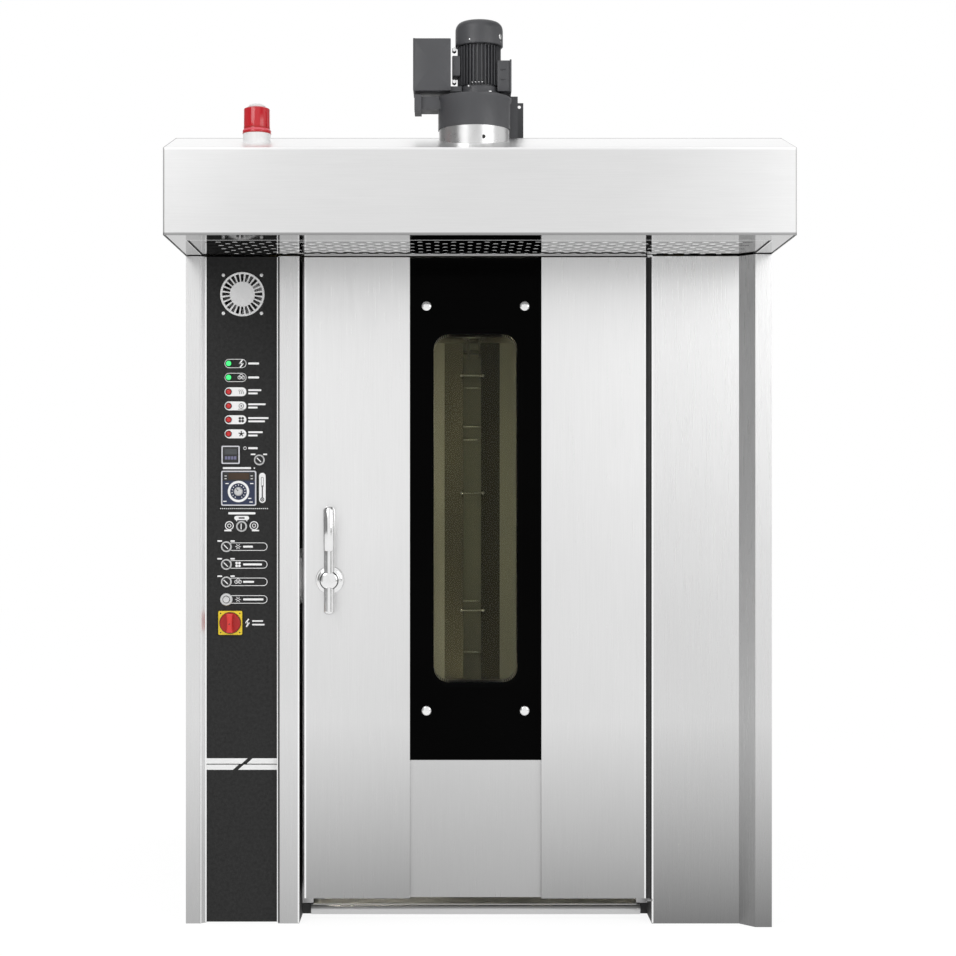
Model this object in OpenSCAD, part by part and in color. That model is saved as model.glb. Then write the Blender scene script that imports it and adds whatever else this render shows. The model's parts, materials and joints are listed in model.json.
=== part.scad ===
/* [Body] */
// Width over the side panels
body_w = 1604; // [1500:1:1800]
// Depth of the body, without the hood
body_d = 1500; // [1400:1:1700]
// Height of the body roof
roof_z = 2124; // [2080:1:2200]
// Thickness of the outer steel sheets
sheet = 2; // [1.5:0.1:3]
// Height of the floor frame
base_h = 28; // [20:1:40]
// How far the rear panel sits inside the side panels
rear_inset = 22; // [10:1:40]

/* [Hood] */
// How far the hood stands ahead of the front
hood_d = 420; // [300:1:500]
// Height of the hood's underside
hood_z = 1835; // [1800:1:1850]
// Height of the hood's front face
hood_face_h = 222; // [180:1:240]
// Depth of the sloping stretch of the hood's top
hood_slope_d = 230; // [150:1:260]
// How far the hood's underside lies above its lower edge
filter_rise = 2; // [1:0.5:6]
// Width of the flat rim at both ends of the slotted tray
tray_side = 45; // [30:1:70]
// Width of the flat rim ahead of the slotted tray
tray_front = 112; // [80:1:140]
// Distance from the tray's ends to its first slots
slot_in = 40; // [20:1:80]
// Distance from the tray's front edge to its first row of slots
slot_row_in = 50; // [30:1:80]
// Distance between rows of slots
slot_row_pitch = 33; // [24:1:60]
// Length of a slot in the tray
filter_slot = 26; // [16:1:28]
// Distance between slots in a row
slot_pitch = 44; // [32:1:60]

/* [Columns] */
// Width of the control column
column_w = 312; // [300:1:340]
// Width of the plain strip at the control column's outer edge
outer_strip_w = 39; // [30:1:50]
// Width of the plain strip beside the door
inner_strip_w = 56; // [45:1:70]
// How deep the control panel sits behind the front
panel_recess = 14; // [8:1:18]
// Thickness of the control panel
panel_t = 3; // [2:0.5:4]
// Width of the right column
right_column_w = 323; // [300:1:340]
// Width of the raised corner strip on the right
corner_strip_w = 45; // [35:1:60]
// How far the raised corner strip stands ahead
corner_rise = 45; // [30:1:60]
// Depth of the columns behind the front
column_d = 126; // [116:1:140]
// Height of the joint between the upper and the lower control panel
panel_seam_z = 437; // [380:1:480]

/* [Door] */
// Gap along the latch side of the door
latch_gap = 14; // [10:1:18]
// Gap along the hinge side of the door
hinge_gap = 16; // [15:1:20]
// Thickness of the door box's sheet
door_sheet = 3; // [2:0.5:4]
// Height of the door's bottom edge
door_z = 69; // [50:1:90]
// Gap between the door and the hood
door_top_gap = 3; // [2:1:8]
// Thickness of the door
door_t = 115; // [100:1:118]
// Width of the outer glass
glass_w = 362; // [340:1:400]
// How far the middle of the door lies behind its wings
wing_rise = 18; // [14:1:20]
// Height of the bottom edge of the glass
glass_z = 448; // [400:1:480]
// Thickness of each pane
glass_t = 6; // [4:1:8]
// Width of the clear window
window_w = 231; // [200:1:260]
// Height of the clear window
window_h = 961; // [900:1:1000]
// Height of the window's bottom edge
window_z = 661; // [640:1:680]
// Radius of the window's corners
window_r = 41; // [20:1:60]
// Diameter of the caps that hold the glass
glass_cap_d = 26; // [20:1:32]

/* [Handle] */
// Height of the handle
handle_z = 945; // [900:1:980]
// Distance of the handle from the door's edge
handle_in = 71; // [60:1:90]
// Diameter of the handle's boss
handle_boss_d = 78; // [70:1:90]
// Length of the handle above its axis
handle_up = 203; // [180:1:230]
// Length of the handle below its axis
handle_down = 94; // [80:1:110]
// Diameter of the grip
grip_d = 32; // [26:1:36]
// Diameter of the handle's shaft
handle_shaft_d = 28; // [20:1:30]
// Height of the latch bolt
bolt_h = 40; // [30:1:46]
// Thickness of the latch bolt
bolt_t = 16; // [10:1:20]

/* [Chamber] */
// Space between the baking chamber and a side of the oven
side_space = 272; // [255:1:290]
// Space behind the air duct, up to the rear panel
rear_space = 81; // [60:1:120]
// Height of the chamber ceiling
ceiling_z = 1703; // [1680:1:1715]
// Depth of the air duct behind the chamber
duct_d = 127; // [110:1:140]
// Height of the space above the ceiling
plenum_h = 200; // [180:1:210]
// Thickness of the insulation
insulation_t = 60; // [40:1:65]
// Width of the upright air slot
slot_w = 60; // [40:1:80]
// Clearance between the heating tubes and the chamber's side
heater_gap = 34; // [20:1:60]
// Width of each louvre beside the slot
louvre_w = 64; // [50:1:80]
// Diameter of the turntable
turntable_d = 880; // [800:1:960]
// Diameter of the rack spindle
spindle_d = 30; // [24:1:34]
// Diameter of the circulation fan's wheel
fan_wheel_d = 340; // [280:1:360]
// Distance from the turntable's centre to the fan's axis
fan_offset = 260; // [240:1:300]
// Running clearance round shafts
run_gap = 0.5; // [0.3:0.1:1]
// Clearance round pieces that pass through the control panel
panel_fit = 0.2; // [0.1:0.1:0.5]

/* [Controls] */
// Side of the temperature controller
controller_w = 96; // [90:1:100]
// Side of the timer
timer_w = 48; // [44:1:52]
// Side of the main switch plate
switch_w = 66; // [60:1:72]
// Diameter of the selector bezels
selector_d = 30; // [26:1:32]
// Diameter of the alarm button's ring
button_d = 34; // [30:1:38]
// Diameter of the indicator lenses
lamp_d = 18; // [14:1:22]
// Diameter of the panel vent
vent_d = 122; // [110:1:130]
// Spacing of the panel vent's screws
vent_pitch = 105; // [104:0.5:106]

/* [Blower] */
// Diameter of the blower housing
blower_d = 189; // [170:1:200]
// Total height of the oven at the blower's cowl
top_z = 2417; // [2400:1:2460]
// Diameter of the motor body
motor_d = 115; // [100:1:125]
// Length of the exhaust duct's side
duct_h = 110; // [90:1:120]

/* [Hidden] */
$fn = 64;
far = 1.0;
side_x = body_w / 2;
back_y = (body_d + hood_d) / 2;
front_y = hood_d - back_y;
hood_y = -back_y;
floor_z = base_h + sheet;

// Columns and panel
column_x = column_w - side_x;
panel_y = front_y + panel_recess;
bevel = panel_recess + sheet;
panel_x0 = outer_strip_w + bevel - side_x;
panel_x1 = column_x - inner_strip_w - sheet;
right_x = side_x - right_column_w;
return_d = 40;
column_top = hood_z;

// Door
door_x0 = column_x + latch_gap;
door_x1 = right_x - hinge_gap;
door_top = hood_z - door_top_gap;
glass_cx = (door_x0 + door_x1) / 2 + 1.5;
glass_x0 = glass_cx - glass_w / 2;
glass_x1 = glass_cx + glass_w / 2;
glass_y = front_y + wing_rise;
shell_y = glass_y + glass_t;
door_back = front_y + door_t;
hinge_x = door_x1 + hinge_gap / 2;
hinge_y = front_y + sheet;
barrel_r = hinge_gap / 2 - 2;
hinge_pin_r = barrel_r - sheet;
handle_x = door_x0 + handle_in;
handle_y = front_y - 44;
bolt_y = front_y + 40;
jamb_y = front_y + door_t + 13;
jamb_w = 30;
jamb_d = 60;
lintel_h = hood_z - ceiling_z - 15;

// Chamber
rear_y = back_y - rear_inset;
chamber_x = side_x - side_space;
chamber_y0 = jamb_y + jamb_d;
duct_y1 = rear_y - rear_space;
chamber_y1 = duct_y1 - duct_d;
plenum_z = ceiling_z + plenum_h;
centre_y = (chamber_y0 + chamber_y1) / 2 + 15;
fan_y = centre_y + fan_offset;
rod_z = [for (i = [0:2]) ceiling_z - 115 - i * 399.5];
heater_z = [250, ceiling_z - 253];
shaft_r = 12;
spindle_r = spindle_d / 2;

// Hood and blower
filter_z = hood_z + filter_rise;
tray_z = filter_z + sheet;
blower_x = -12;
blower_y = hood_y + 186;
motor_x = 1;
collar_top = roof_z + 10;
outlet_z = [collar_top + 51, collar_top + 83];
housing_top = roof_z + 94;
flange_top = roof_z + 121;
motor_top = roof_z + 229;
beacon_x = column_x - 88;
beacon_y = hood_y + 136;
beacon_r = 34.5;
beacon_seat = roof_z - 8;

// Exhaust duct
duct_x = [blower_x - 58, blower_x + 116];
duct_y = [blower_y + 44, blower_y + 234];
duct_flange = 22;
duct_bolt_r = 4.5;
duct_bolt_x = [duct_x[0] - duct_flange / 2, duct_x[1] + duct_flange / 2];
duct_bolt_z = [roof_z + 20, roof_z + duct_h + duct_flange / 2];

// Steam unit and water inlet
inlet_x = side_x - 102;
inlet_z = 300;
inlet_r = 10.65;
pipe_r = 9;
steam_y = 150;
steam_z = 1150;
steam_r = 16;

// Places of the controls, as X and Z on the panel
panel_mid = (panel_x0 + panel_x1) / 2;
lamp_x = panel_mid - 38.5;
selector_x = panel_mid - 44.5;
vent_at = [panel_mid - 0.5, 1732];
green_at = [for (z = [1541, 1502.5]) [lamp_x, z]];
red_at = [for (z = [1463, 1424, 1386, 1347]) [lamp_x, z]];
timer_at = [panel_mid - 32.5, 1289];
controller_at = [panel_mid - 10, 1197];
dial_at = controller_at - [0.5, 9];
timer_knob_at = [panel_mid + 46.5, 1275];
fan_knob_at = [panel_mid - 2.5, 1092];
light_knob_at = [selector_x, 1036];
mode_knob_at = [selector_x, 987];
steam_knob_at = [selector_x, 939];
alarm_at = [selector_x, 890.5];
switch_at = [panel_mid - 33.5, 826];
selectors = [timer_knob_at, fan_knob_at, light_knob_at, mode_knob_at, steam_knob_at];
bezel_t = 5;
stem_r = 4;
barrel_in = selector_d / 2 - 4;

// A box between two corners
module block(x, y, z) {
    translate([x[0], y[0], z[0]]) cube([x[1] - x[0], y[1] - y[0], z[1] - z[0]]);
}

// A square block round a place on the panel
module square_block(at, w, y) {
    block([at[0] - w / 2, at[0] + w / 2], y, [at[1] - w / 2, at[1] + w / 2]);
}

// A round bar along Z, Y or X
module bar_z(x, y, z, r) {
    translate([x, y, z[0]]) cylinder(r = r, h = z[1] - z[0]);
}
module bar_y(at, y, r) {
    translate([at[0], y[1], at[1]]) rotate([90, 0, 0]) cylinder(r = r, h = y[1] - y[0]);
}
module bar_x(x, y, z, r) {
    translate([x[0], y, z]) rotate([0, 90, 0]) cylinder(r = r, h = x[1] - x[0]);
}

// A flat outline, seen from above, raised between two heights
module raised(z) {
    translate([0, 0, z[0]]) linear_extrude(z[1] - z[0]) children();
}

// A box without its inside, open towards the side that open names
module pan(x, y, z, t, open = "+y") {
    difference() {
        block(x, y, z);
        block([x[0] + t, x[1] - t],
            [y[0] + (open == "-y" ? -far : t), y[1] - (open == "+y" ? -far : t)],
            [z[0] + (open == "-z" ? -far : t), z[1] - (open == "+z" ? -far : t)]);
    }
}

// An upright tube with a rectangular section
module post(x, y, z, t) {
    difference() {
        block(x, y, z);
        block([x[0] + t, x[1] - t], [y[0] + t, y[1] - t], [z[0] - far, z[1] + far]);
    }
}

// The unit direction of one leg of a path, and the mitre point beside one of its corners
function unit(v) = v / norm(v);
function left_of(v) = [-v[1], v[0]];
function mitre(p, i, t) =
    let (n = len(p) - 1)
    let (a = unit(p[min(i, n - 1) + 1] - p[min(i, n - 1)]), b = unit(p[max(i, 1)] - p[max(i, 1) - 1]))
    let (m = left_of(a) + left_of(b))
    p[i] + m * (2 * t / (m * m));

// A folded sheet: a path seen from above, thickened to its left and raised
module folded(path, t, z) {
    inner = [for (i = [len(path) - 1:-1:0]) mitre(path, i, t)];
    raised(z) polygon(concat(path, inner));
}

// An upright plate with round corners, seen from the front
module rounded_plate(x, y, z, r) {
    translate([0, y[1], 0]) rotate([90, 0, 0]) linear_extrude(y[1] - y[0]) {
        translate([x[0] + r, z[0]]) square([x[1] - x[0] - 2 * r, z[1] - z[0]]);
        translate([x[0], z[0] + r]) square([x[1] - x[0], z[1] - z[0] - 2 * r]);
        for (px = [x[0] + r, x[1] - r], pz = [z[0] + r, z[1] - r]) translate([px, pz]) circle(r);
    }
}

// The space below the hood's sloping top, used to trim what stands on it
module below_hood_top(x, drop = 0) {
    low = hood_z + hood_face_h - drop;
    high = roof_z - drop;
    translate([x[0], 0, 0]) rotate([90, 0, 90]) linear_extrude(x[1] - x[0])
        polygon([[hood_y, low], [hood_y + hood_slope_d, high], [front_y + drop, high], [front_y + drop, hood_z],
            [hood_y, hood_z]]);
}

// ---- Body ----

// Welded floor frame: two side rails and three cross rails
module base_frame() color("dimgray") {
    rail = 60;
    rail_x = side_x - sheet;
    y0 = jamb_y;
    y1 = rear_y - sheet;
    for (s = [-1, 1])
        block([min(s * rail_x, s * (rail_x - rail)), max(s * rail_x, s * (rail_x - rail))],
            [y0, y1], [0, base_h]);
    for (y = [y0, (y0 + y1 - rail) / 2, y1 - rail])
        block([rail - rail_x, rail_x - rail], [y, y + rail], [0, base_h]);
}

// Chamber floor with the pivot and the thrust ring of the turntable, and the rounded sill in front
module floor_pan() color("silver") {
    nose_r = (base_h - 1) / 2;
    sill_x = [column_x + 25, right_x - 21];
    block([-chamber_x, chamber_x], [chamber_y0, duct_y1], [base_h, floor_z]);
    block([column_x + jamb_w, right_x - jamb_w], [jamb_y - nose_r, chamber_y0], [base_h, floor_z]);
    block(sill_x, [jamb_y - nose_r, jamb_y], [1, base_h]);
    bar_x(sill_x, jamb_y - nose_r, nose_r + 1, nose_r);
    bar_z(0, centre_y, [floor_z, floor_z + 3.5], 60);
    bar_z(0, centre_y, [floor_z, floor_z + 12], 20 - run_gap);
}

// Left and right outer panels
module side_panels() color("lightgray") {
    for (s = [0, 1]) {
        x = s == 0 ? [-side_x, sheet - side_x] : [side_x - sheet, side_x];
        block(x, [front_y + return_d, back_y], [0, roof_z - sheet]);
        block(x, [front_y + sheet, front_y + return_d], [hood_z, roof_z - sheet]);
    }
}

// Inset rear panel with cooling slots and the hole of the water inlet
module rear_panel() color("lightgray") {
    slots = 12;
    difference() {
        block([sheet - side_x, side_x - sheet], [rear_y - sheet, rear_y], [0, roof_z - sheet]);
        for (i = [0:slots - 1], x = [-side_x + 60, side_x - 180])
            block([x, x + 120], [rear_y - sheet - far, rear_y + far], [400 + i * 24, 408 + i * 24]);
        bar_y([inlet_x, inlet_z], [rear_y - sheet - far, rear_y + far], pipe_r);
    }
}

// Roof with the holes of the two drive shafts, folded down in front to close the back of the hood
module roof_panel() color("lightgray") {
    difference() {
        block([-side_x, side_x], [front_y + sheet, back_y], [roof_z - sheet, roof_z]);
        for (y = [centre_y, fan_y]) bar_z(0, y, [roof_z - sheet - far, roof_z + far], spindle_r + 2);
    }
    block([-side_x, side_x], [front_y, front_y + sheet], [tray_z, roof_z]);
    block([door_x0, door_x1], [front_y, front_y + sheet], [hood_z + 1, tray_z]);
}

// Mineral wool round the chamber: sides, back and top
module insulation() color("khaki") {
    t = insulation_t;
    x = chamber_x + sheet;
    difference() {
        for (s = [0, 1])
            block(s == 0 ? [-x - t, -x] : [x, x + t], [chamber_y0, duct_y1], [base_h, plenum_z + sheet]);
        bar_x([x - far, x + t + far], steam_y, steam_z, steam_r);
    }
    block([-x - t, x + t], [duct_y1 + sheet, rear_y - sheet], [base_h, plenum_z + sheet]);
    difference() {
        block([-x - t, x + t], [chamber_y0, rear_y - sheet], [plenum_z + sheet, plenum_z + sheet + t]);
        for (y = [centre_y, fan_y])
            bar_z(0, y, [plenum_z, plenum_z + sheet + t + far], spindle_r + 2);
    }
}

// Welded inner shell: two sides, the back of the duct and the top of the fan space
module chamber_shell() color("silver") {
    x = chamber_x + sheet;
    difference() {
        for (s = [0, 1])
            block(s == 0 ? [-x, -chamber_x] : [chamber_x, x],
                [chamber_y0, duct_y1 + sheet], [floor_z, plenum_z + sheet]);
        bar_x([chamber_x - far, x + far], steam_y, steam_z, steam_r);
    }
    block([-chamber_x, chamber_x], [duct_y1, duct_y1 + sheet], [floor_z, plenum_z + sheet]);
    difference() {
        block([-chamber_x, chamber_x], [chamber_y0, duct_y1], [plenum_z, plenum_z + sheet]);
        for (y = [centre_y, fan_y]) bar_z(0, y, [plenum_z - far, plenum_z + sheet + far], spindle_r + 2);
    }
    block([-chamber_x, chamber_x], [chamber_y0, chamber_y0 + sheet], [ceiling_z, plenum_z]);
}

// Loose liners: the ceiling with the fan's intake, and the two panels in front of the air duct
module chamber_liners() color("gainsboro") {
    inner = slot_w / 2 + louvre_w;
    difference() {
        block([-chamber_x, chamber_x], [chamber_y0 + sheet, chamber_y1], [ceiling_z - 3, ceiling_z]);
        bar_z(0, fan_y, [ceiling_z - 3 - far, ceiling_z + far], fan_wheel_d / 3);
        bar_z(0, centre_y, [ceiling_z - 3 - far, ceiling_z + far], spindle_r + 2);
    }
    for (x = [[-chamber_x, -inner], [inner, chamber_x]])
        block(x, [chamber_y1, chamber_y1 + 3], [floor_z, ceiling_z]);
}

// Two slanted louvres beside the upright air slot, held apart by three rods with ball ends
module air_louvres() color("gray") {
    half = slot_w / 2;
    rod_y = chamber_y1 - 18;
    for (s = [0, 1]) mirror([s, 0, 0]) raised([floor_z, ceiling_z - 3])
        polygon([[half + louvre_w, chamber_y1 + 3], [half + louvre_w, chamber_y1], [half, rod_y],
            [half, rod_y + 3]]);
    for (z = rod_z) {
        bar_x([-half - 6, half + 6], rod_y, z, 3);
        for (s = [-1, 1]) translate([s * (half + 6), rod_y, z]) sphere(r = 6.5);
    }
}

// U-shaped heating tubes in the air duct, on one header
module heater_bank() color("dimgray") {
    tube_r = 6;
    legs = 60;
    y = chamber_y1 + duct_d * 0.6;
    tubes_x = [slot_w + 70, chamber_x - heater_gap - legs / 2 - tube_r];
    for (s = [-1, 1], i = [0:3]) {
        x = s * (tubes_x[0] + i * (tubes_x[1] - tubes_x[0]) / 3);
        for (dx = [-legs / 2, legs / 2]) bar_z(x + dx, y, heater_z, tube_r);
        translate([x, y, heater_z[1]]) rotate([90, 0, 0]) rotate_extrude(angle = 180)
            translate([legs / 2, 0]) circle(tube_r);
    }
    block([-chamber_x + heater_gap, chamber_x - heater_gap], [y - 20, duct_y1],
        [heater_z[0] - 40, heater_z[0]]);
}

// Roof motor of the circulation fan, hollow round the shaft
module circulation_motor() color("dimgray") {
    r = 80;
    z = roof_z;
    difference() {
        union() {
            bar_z(0, fan_y, [z, z + 10], r + 20);
            bar_z(0, fan_y, [z + 10, z + 190], r);
            for (a = [0:15:345]) translate([0, fan_y, z + 30]) rotate(a) translate([r - 4, -1.5, 0])
                cube([12, 3, 120]);
        }
        bar_z(0, fan_y, [z - far, z + 100], shaft_r + run_gap);
    }
    block([-34, 34], [fan_y + r - 2, fan_y + r + 34], [z + 50, z + 130]);
}

// Roof gearbox and motor that turn the rack spindle
module rotation_gearmotor() color("slategray") {
    z = roof_z;
    difference() {
        block([-62, 62], [centre_y - 62, centre_y + 62], [z, z + 104]);
        bar_z(0, centre_y, [z - far, z + 70], spindle_r + run_gap);
    }
    bar_x([62, 82], centre_y, z + 56, 50);
    bar_x([82, 250], centre_y, z + 56, 44);
    bar_x([250, 286], centre_y, z + 56, 48);
}

// Flanged bearing of the rack spindle, below the ceiling
module spindle_bearing() color("silver") {
    difference() {
        union() {
            bar_z(0, centre_y, [ceiling_z - 9, ceiling_z - 3], 62);
            bar_z(0, centre_y, [ceiling_z - 33, ceiling_z - 9], 36);
        }
        bar_z(0, centre_y, [ceiling_z - 33 - far, ceiling_z], spindle_r + run_gap);
    }
}

// Two sealed lamps on the left chamber wall, near the door
module chamber_lamps() color("lightyellow") {
    for (z = [ceiling_z - 1143, ceiling_z - 323]) {
        bar_x([-chamber_x, 8 - chamber_x], chamber_y0 + 110, z, 52);
        bar_x([8 - chamber_x, 24 - chamber_x], chamber_y0 + 110, z, 42);
    }
}

// Steam tank beside the chamber, its outlet, and the water pipe that ends in the rear inlet
module steam_unit() color("steelblue") {
    tank_x = [chamber_x + insulation_t + 22, side_x - 27];
    tank_y = [steam_y - 150, steam_y + 150];
    tank_z = [steam_z - 250, steam_z + 200];
    pan(tank_x, tank_y, tank_z, 3, "-y");
    block(tank_x, [tank_y[0] - 3, tank_y[0]], tank_z);
    bar_x([chamber_x - 6, tank_x[0]], steam_y, steam_z, steam_r);
    bar_z(inlet_x, steam_y + 100, [inlet_z - pipe_r, tank_z[0]], pipe_r);
    bar_y([inlet_x, inlet_z], [steam_y + 100, rear_y], pipe_r);
    bar_y([inlet_x, inlet_z], [rear_y, back_y], inlet_r);
}

// ---- Columns ----

// Folded sheets at both sides of the control panel, and the plate that closes the compartment
module control_column() color("gainsboro") {
    z = [0, column_top];
    back = front_y + column_d - sheet;
    difference() {
        union() {
            folded([[-side_x, front_y + return_d], [-side_x, front_y], [outer_strip_w - side_x, front_y],
                [panel_x0, panel_y], [panel_x0, back]], sheet, z);
            folded([[panel_x1, back], [panel_x1, front_y], [column_x, front_y], [column_x, back + sheet]],
                sheet, z);
            block([panel_x0 - sheet, column_x], [back, back + sheet], z);
        }
        block([column_x - sheet - far, column_x + far], [bolt_y - 34, bolt_y + bolt_t + 14],
            [handle_z - 60, handle_z + 60]);
    }
}

// Upper and lower control panels, with the holes of what they carry
module control_panel() color("black") {
    x = [panel_x0, panel_x1];
    y = [panel_y, panel_y + panel_t];
    through = [y[0] - far, y[1] + far];
    difference() {
        block(x, y, [panel_seam_z + 1, column_top]);
        bar_y(vent_at, through, vent_d / 2 - 3);
        for (sx = [-1, 1], sz = [-1, 1])
            bar_y(vent_at + [sx, sz] * vent_pitch / 2, through, 2.2);
        for (p = concat(green_at, red_at)) bar_y(p, through, lamp_d / 2 - 1 + panel_fit);
        square_block(timer_at, timer_w - 4 + 2 * panel_fit, through);
        square_block(controller_at, controller_w - 5 + 2 * panel_fit, through);
        square_block(switch_at, switch_w - 16 + 2 * panel_fit, through);
        for (p = selectors) bar_y(p, through, barrel_in + panel_fit);
        bar_y(alarm_at, through, barrel_in + panel_fit);
    }
    block(x, y, [2, panel_seam_z - 1]);
}

// Wide right column with its raised corner strip, and the hinge brackets with their pins
module right_column() color("gainsboro") {
    bracket_t = 5;
    folded([[right_x, front_y + column_d], [right_x, front_y], [side_x - corner_strip_w - 38, front_y],
        [side_x - corner_strip_w, front_y - corner_rise], [side_x, front_y - corner_rise],
        [side_x, front_y + return_d]], sheet, [0, column_top]);
    for (z = [door_z - bracket_t - 2, door_top + 1]) {
        block([hinge_x, right_x + sheet], [hinge_y - barrel_r, hinge_y + barrel_r], [z, z + bracket_t]);
        bar_z(hinge_x, hinge_y, [z, z + bracket_t], barrel_r);
    }
    bar_z(hinge_x, hinge_y, [door_z - 2, door_z + 24], hinge_pin_r);
    bar_z(hinge_x, hinge_y, [door_top - 24, door_top + 2], hinge_pin_r);
}

// Separate bars round the door opening
module door_jamb() color("silver") {
    left = [column_x, column_x + jamb_w];
    right = [right_x - jamb_w, right_x];
    y = [jamb_y, jamb_y + jamb_d];
    for (x = [left, right]) post(x, y, [floor_z, hood_z], sheet);
    block([left[1], right[0]], [jamb_y, jamb_y + sheet], [hood_z - lintel_h, hood_z]);
    block([left[1], right[0]], [y[1] - sheet, y[1]], [ceiling_z - 6, hood_z]);
    block([left[1], right[0]], [jamb_y + sheet, y[1] - sheet], [hood_z - lintel_h, hood_z - lintel_h + sheet]);
    block([-chamber_x - sheet, left[0]], [y[1] - sheet, y[1]], [floor_z, hood_z]);
    block([right[1], chamber_x + sheet], [y[1] - sheet, y[1]], [floor_z, hood_z]);
    block([column_x - sheet, left[0]], [front_y + column_d, y[1] - sheet], [floor_z, hood_z]);
    block([right[1], right[1] + sheet], [front_y + column_d, y[1] - sheet], [floor_z, hood_z]);
}

// Silicone seal on the jamb, pressed by the door
module door_seal() color("dimgray") {
    y = [door_back + run_gap, jamb_y];
    w = 16;
    x0 = column_x + jamb_w - w - 2;
    x1 = right_x - jamb_w + w + 2;
    for (x = [[x0, x0 + w], [x1 - w, x1]]) block(x, y, [door_z + 4, door_top - 12 - w]);
    block([x0, x1], y, [door_top - 12 - w, door_top - 12]);
}

// Catch plate in the column's side, with the pocket of the latch bolt
module latch_keeper() color("silver") {
    difference() {
        block([column_x - 2 * sheet, column_x - sheet], [bolt_y - 37, bolt_y + bolt_t + 17],
            [handle_z - 66, handle_z + 80]);
        block([column_x - far - 2 * sheet, column_x], [bolt_y - 2, bolt_y + bolt_t + 2],
            [handle_z - bolt_h / 2 - 3, handle_z + bolt_h / 2 + 3]);
    }
}

// ---- Hood ----

// Hood of folded sheet with a sloping top, open below and behind
module hood_shell() color("whitesmoke") {
    inner_x = [sheet - side_x, side_x - sheet];
    difference() {
        below_hood_top([-side_x, side_x]);
        intersection() {
            below_hood_top(inner_x, sheet);
            block(inner_x, [hood_y + sheet, front_y + sheet], [hood_z - far, roof_z]);
        }
        block(inner_x, [hood_y + sheet, front_y + sheet], [hood_z - far, hood_z + far]);
        bar_z(blower_x, blower_y, [hood_z, roof_z + far], blower_d / 2 - 4);
    }
}

// Underside of the hood: a flat rim, and on it a tray with staggered rows of slots
module hood_filter() color("silver") {
    x = side_x - sheet;
    y = [hood_y + sheet, front_y];
    lap = 8;
    tray_x = side_x - tray_side;
    tray_y = hood_y + tray_front;
    lap_x = tray_x + lap;
    field_x = tray_x - slot_in;
    first = tray_y + slot_row_in;
    rows = floor((y[1] - 20 - first) / slot_row_pitch);
    difference() {
        block([-x, x], y, [filter_z, tray_z]);
        block([-tray_x, tray_x], [tray_y, y[1] + far], [filter_z - far, tray_z + far]);
    }
    difference() {
        block([-lap_x, lap_x], [tray_y - lap, y[1]], [tray_z, tray_z + sheet]);
        for (r = [0:rows]) {
            row_y = first + r * slot_row_pitch;
            shift = (r % 2) * slot_pitch / 2;
            for (sx = [-field_x + shift:slot_pitch:field_x - filter_slot - shift])
                block([sx, sx + filter_slot], [row_y, row_y + 7], [tray_z - far, tray_z + sheet + far]);
        }
    }
    for (edge = [[-lap_x, sheet - lap_x], [lap_x - sheet, lap_x]])
        block(edge, [tray_y - lap, y[1]], [tray_z + sheet, tray_z + 20]);
}

// White foot of the warning light, cut to the slope that it stands on
module beacon_base() color("white") {
    difference() {
        bar_z(beacon_x, beacon_y, [roof_z - 60, beacon_seat], beacon_r + 1.5);
        below_hood_top([beacon_x - 50, beacon_x + 50]);
    }
}

// Red lens of the warning light with its cap
module beacon_lens() color("red") {
    rim_r = beacon_r + 2.5;
    z = beacon_seat;
    translate([beacon_x, beacon_y, z]) rotate_extrude() polygon([[0, 0], [rim_r, 0], [rim_r, 7],
        [beacon_r, 12], [beacon_r, 65], [beacon_r - 4, 70], [beacon_r - 14, 78], [0, 78]]);
}

// Steel collar on the hood's slope, below the blower
module blower_collar() color("silver") {
    r = blower_d / 2 - 2;
    difference() {
        bar_z(blower_x, blower_y, [roof_z - 60, collar_top], r);
        bar_z(blower_x, blower_y, [roof_z - 60 - far, collar_top + far], r - sheet);
        below_hood_top([blower_x - r - 9, blower_x + r + 9]);
    }
}

// Round blower housing with its inlet, the motor's hole and the openings to both ducts
module blower_housing() color("dimgray") {
    r = blower_d / 2;
    z = [collar_top, housing_top];
    difference() {
        union() {
            bar_z(blower_x, blower_y, z, r);
            bar_z(blower_x, blower_y, [z[1] - 9, z[1]], r + 3.5);
        }
        bar_z(blower_x, blower_y, [z[0] + 3, z[1] - 3], r - 3);
        bar_z(blower_x, blower_y, [z[0] - far, z[0] + 4], 58);
        bar_z(motor_x, blower_y, [z[1] - 4, z[1] + far], 14);
        block([blower_x - r - 5, blower_x], [blower_y - 32, blower_y + 32],
            outlet_z + [2, -4]);
        block([blower_x + 8, blower_x + 74], [blower_y, blower_y + r + 5], [z[0] + 12, z[1] - 12]);
    }
}

// Finned motor on its flange
module blower_motor() color("dimgray") {
    r = motor_d / 2;
    fins = 27;
    fin_t = 2.5;
    fin_l = sqrt(r * r - fin_t * fin_t / 4) - r + 12;
    difference() {
        union() {
            bar_z(motor_x, blower_y, [housing_top, housing_top + 8], r + 8);
            bar_z(motor_x, blower_y, [housing_top + 8, flange_top], r - 4);
            bar_z(motor_x, blower_y, [flange_top, motor_top], r - 8);
            for (i = [0:fins - 1]) translate([motor_x, blower_y, flange_top + 2]) rotate(i * 360 / fins)
                translate([r - 12, -fin_t / 2, 0]) cube([fin_l, fin_t, motor_top - flange_top - 4]);
        }
        bar_z(motor_x, blower_y, [housing_top - far, housing_top + 60], 8 + run_gap);
    }
}

// Rounded cowl over the motor's own fan
module motor_cowl() color("dimgray") {
    r = motor_d / 2 + 5;
    z0 = motor_top;
    z1 = top_z;
    translate([motor_x, blower_y, 0]) rotate_extrude() polygon([[0, z0], [r, z0], [r, z1 - 22],
        for (a = [0:15:90]) [r - 18 + 18 * cos(a), z1 - 22 + 22 * sin(a)], [0, z1]]);
}

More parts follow.
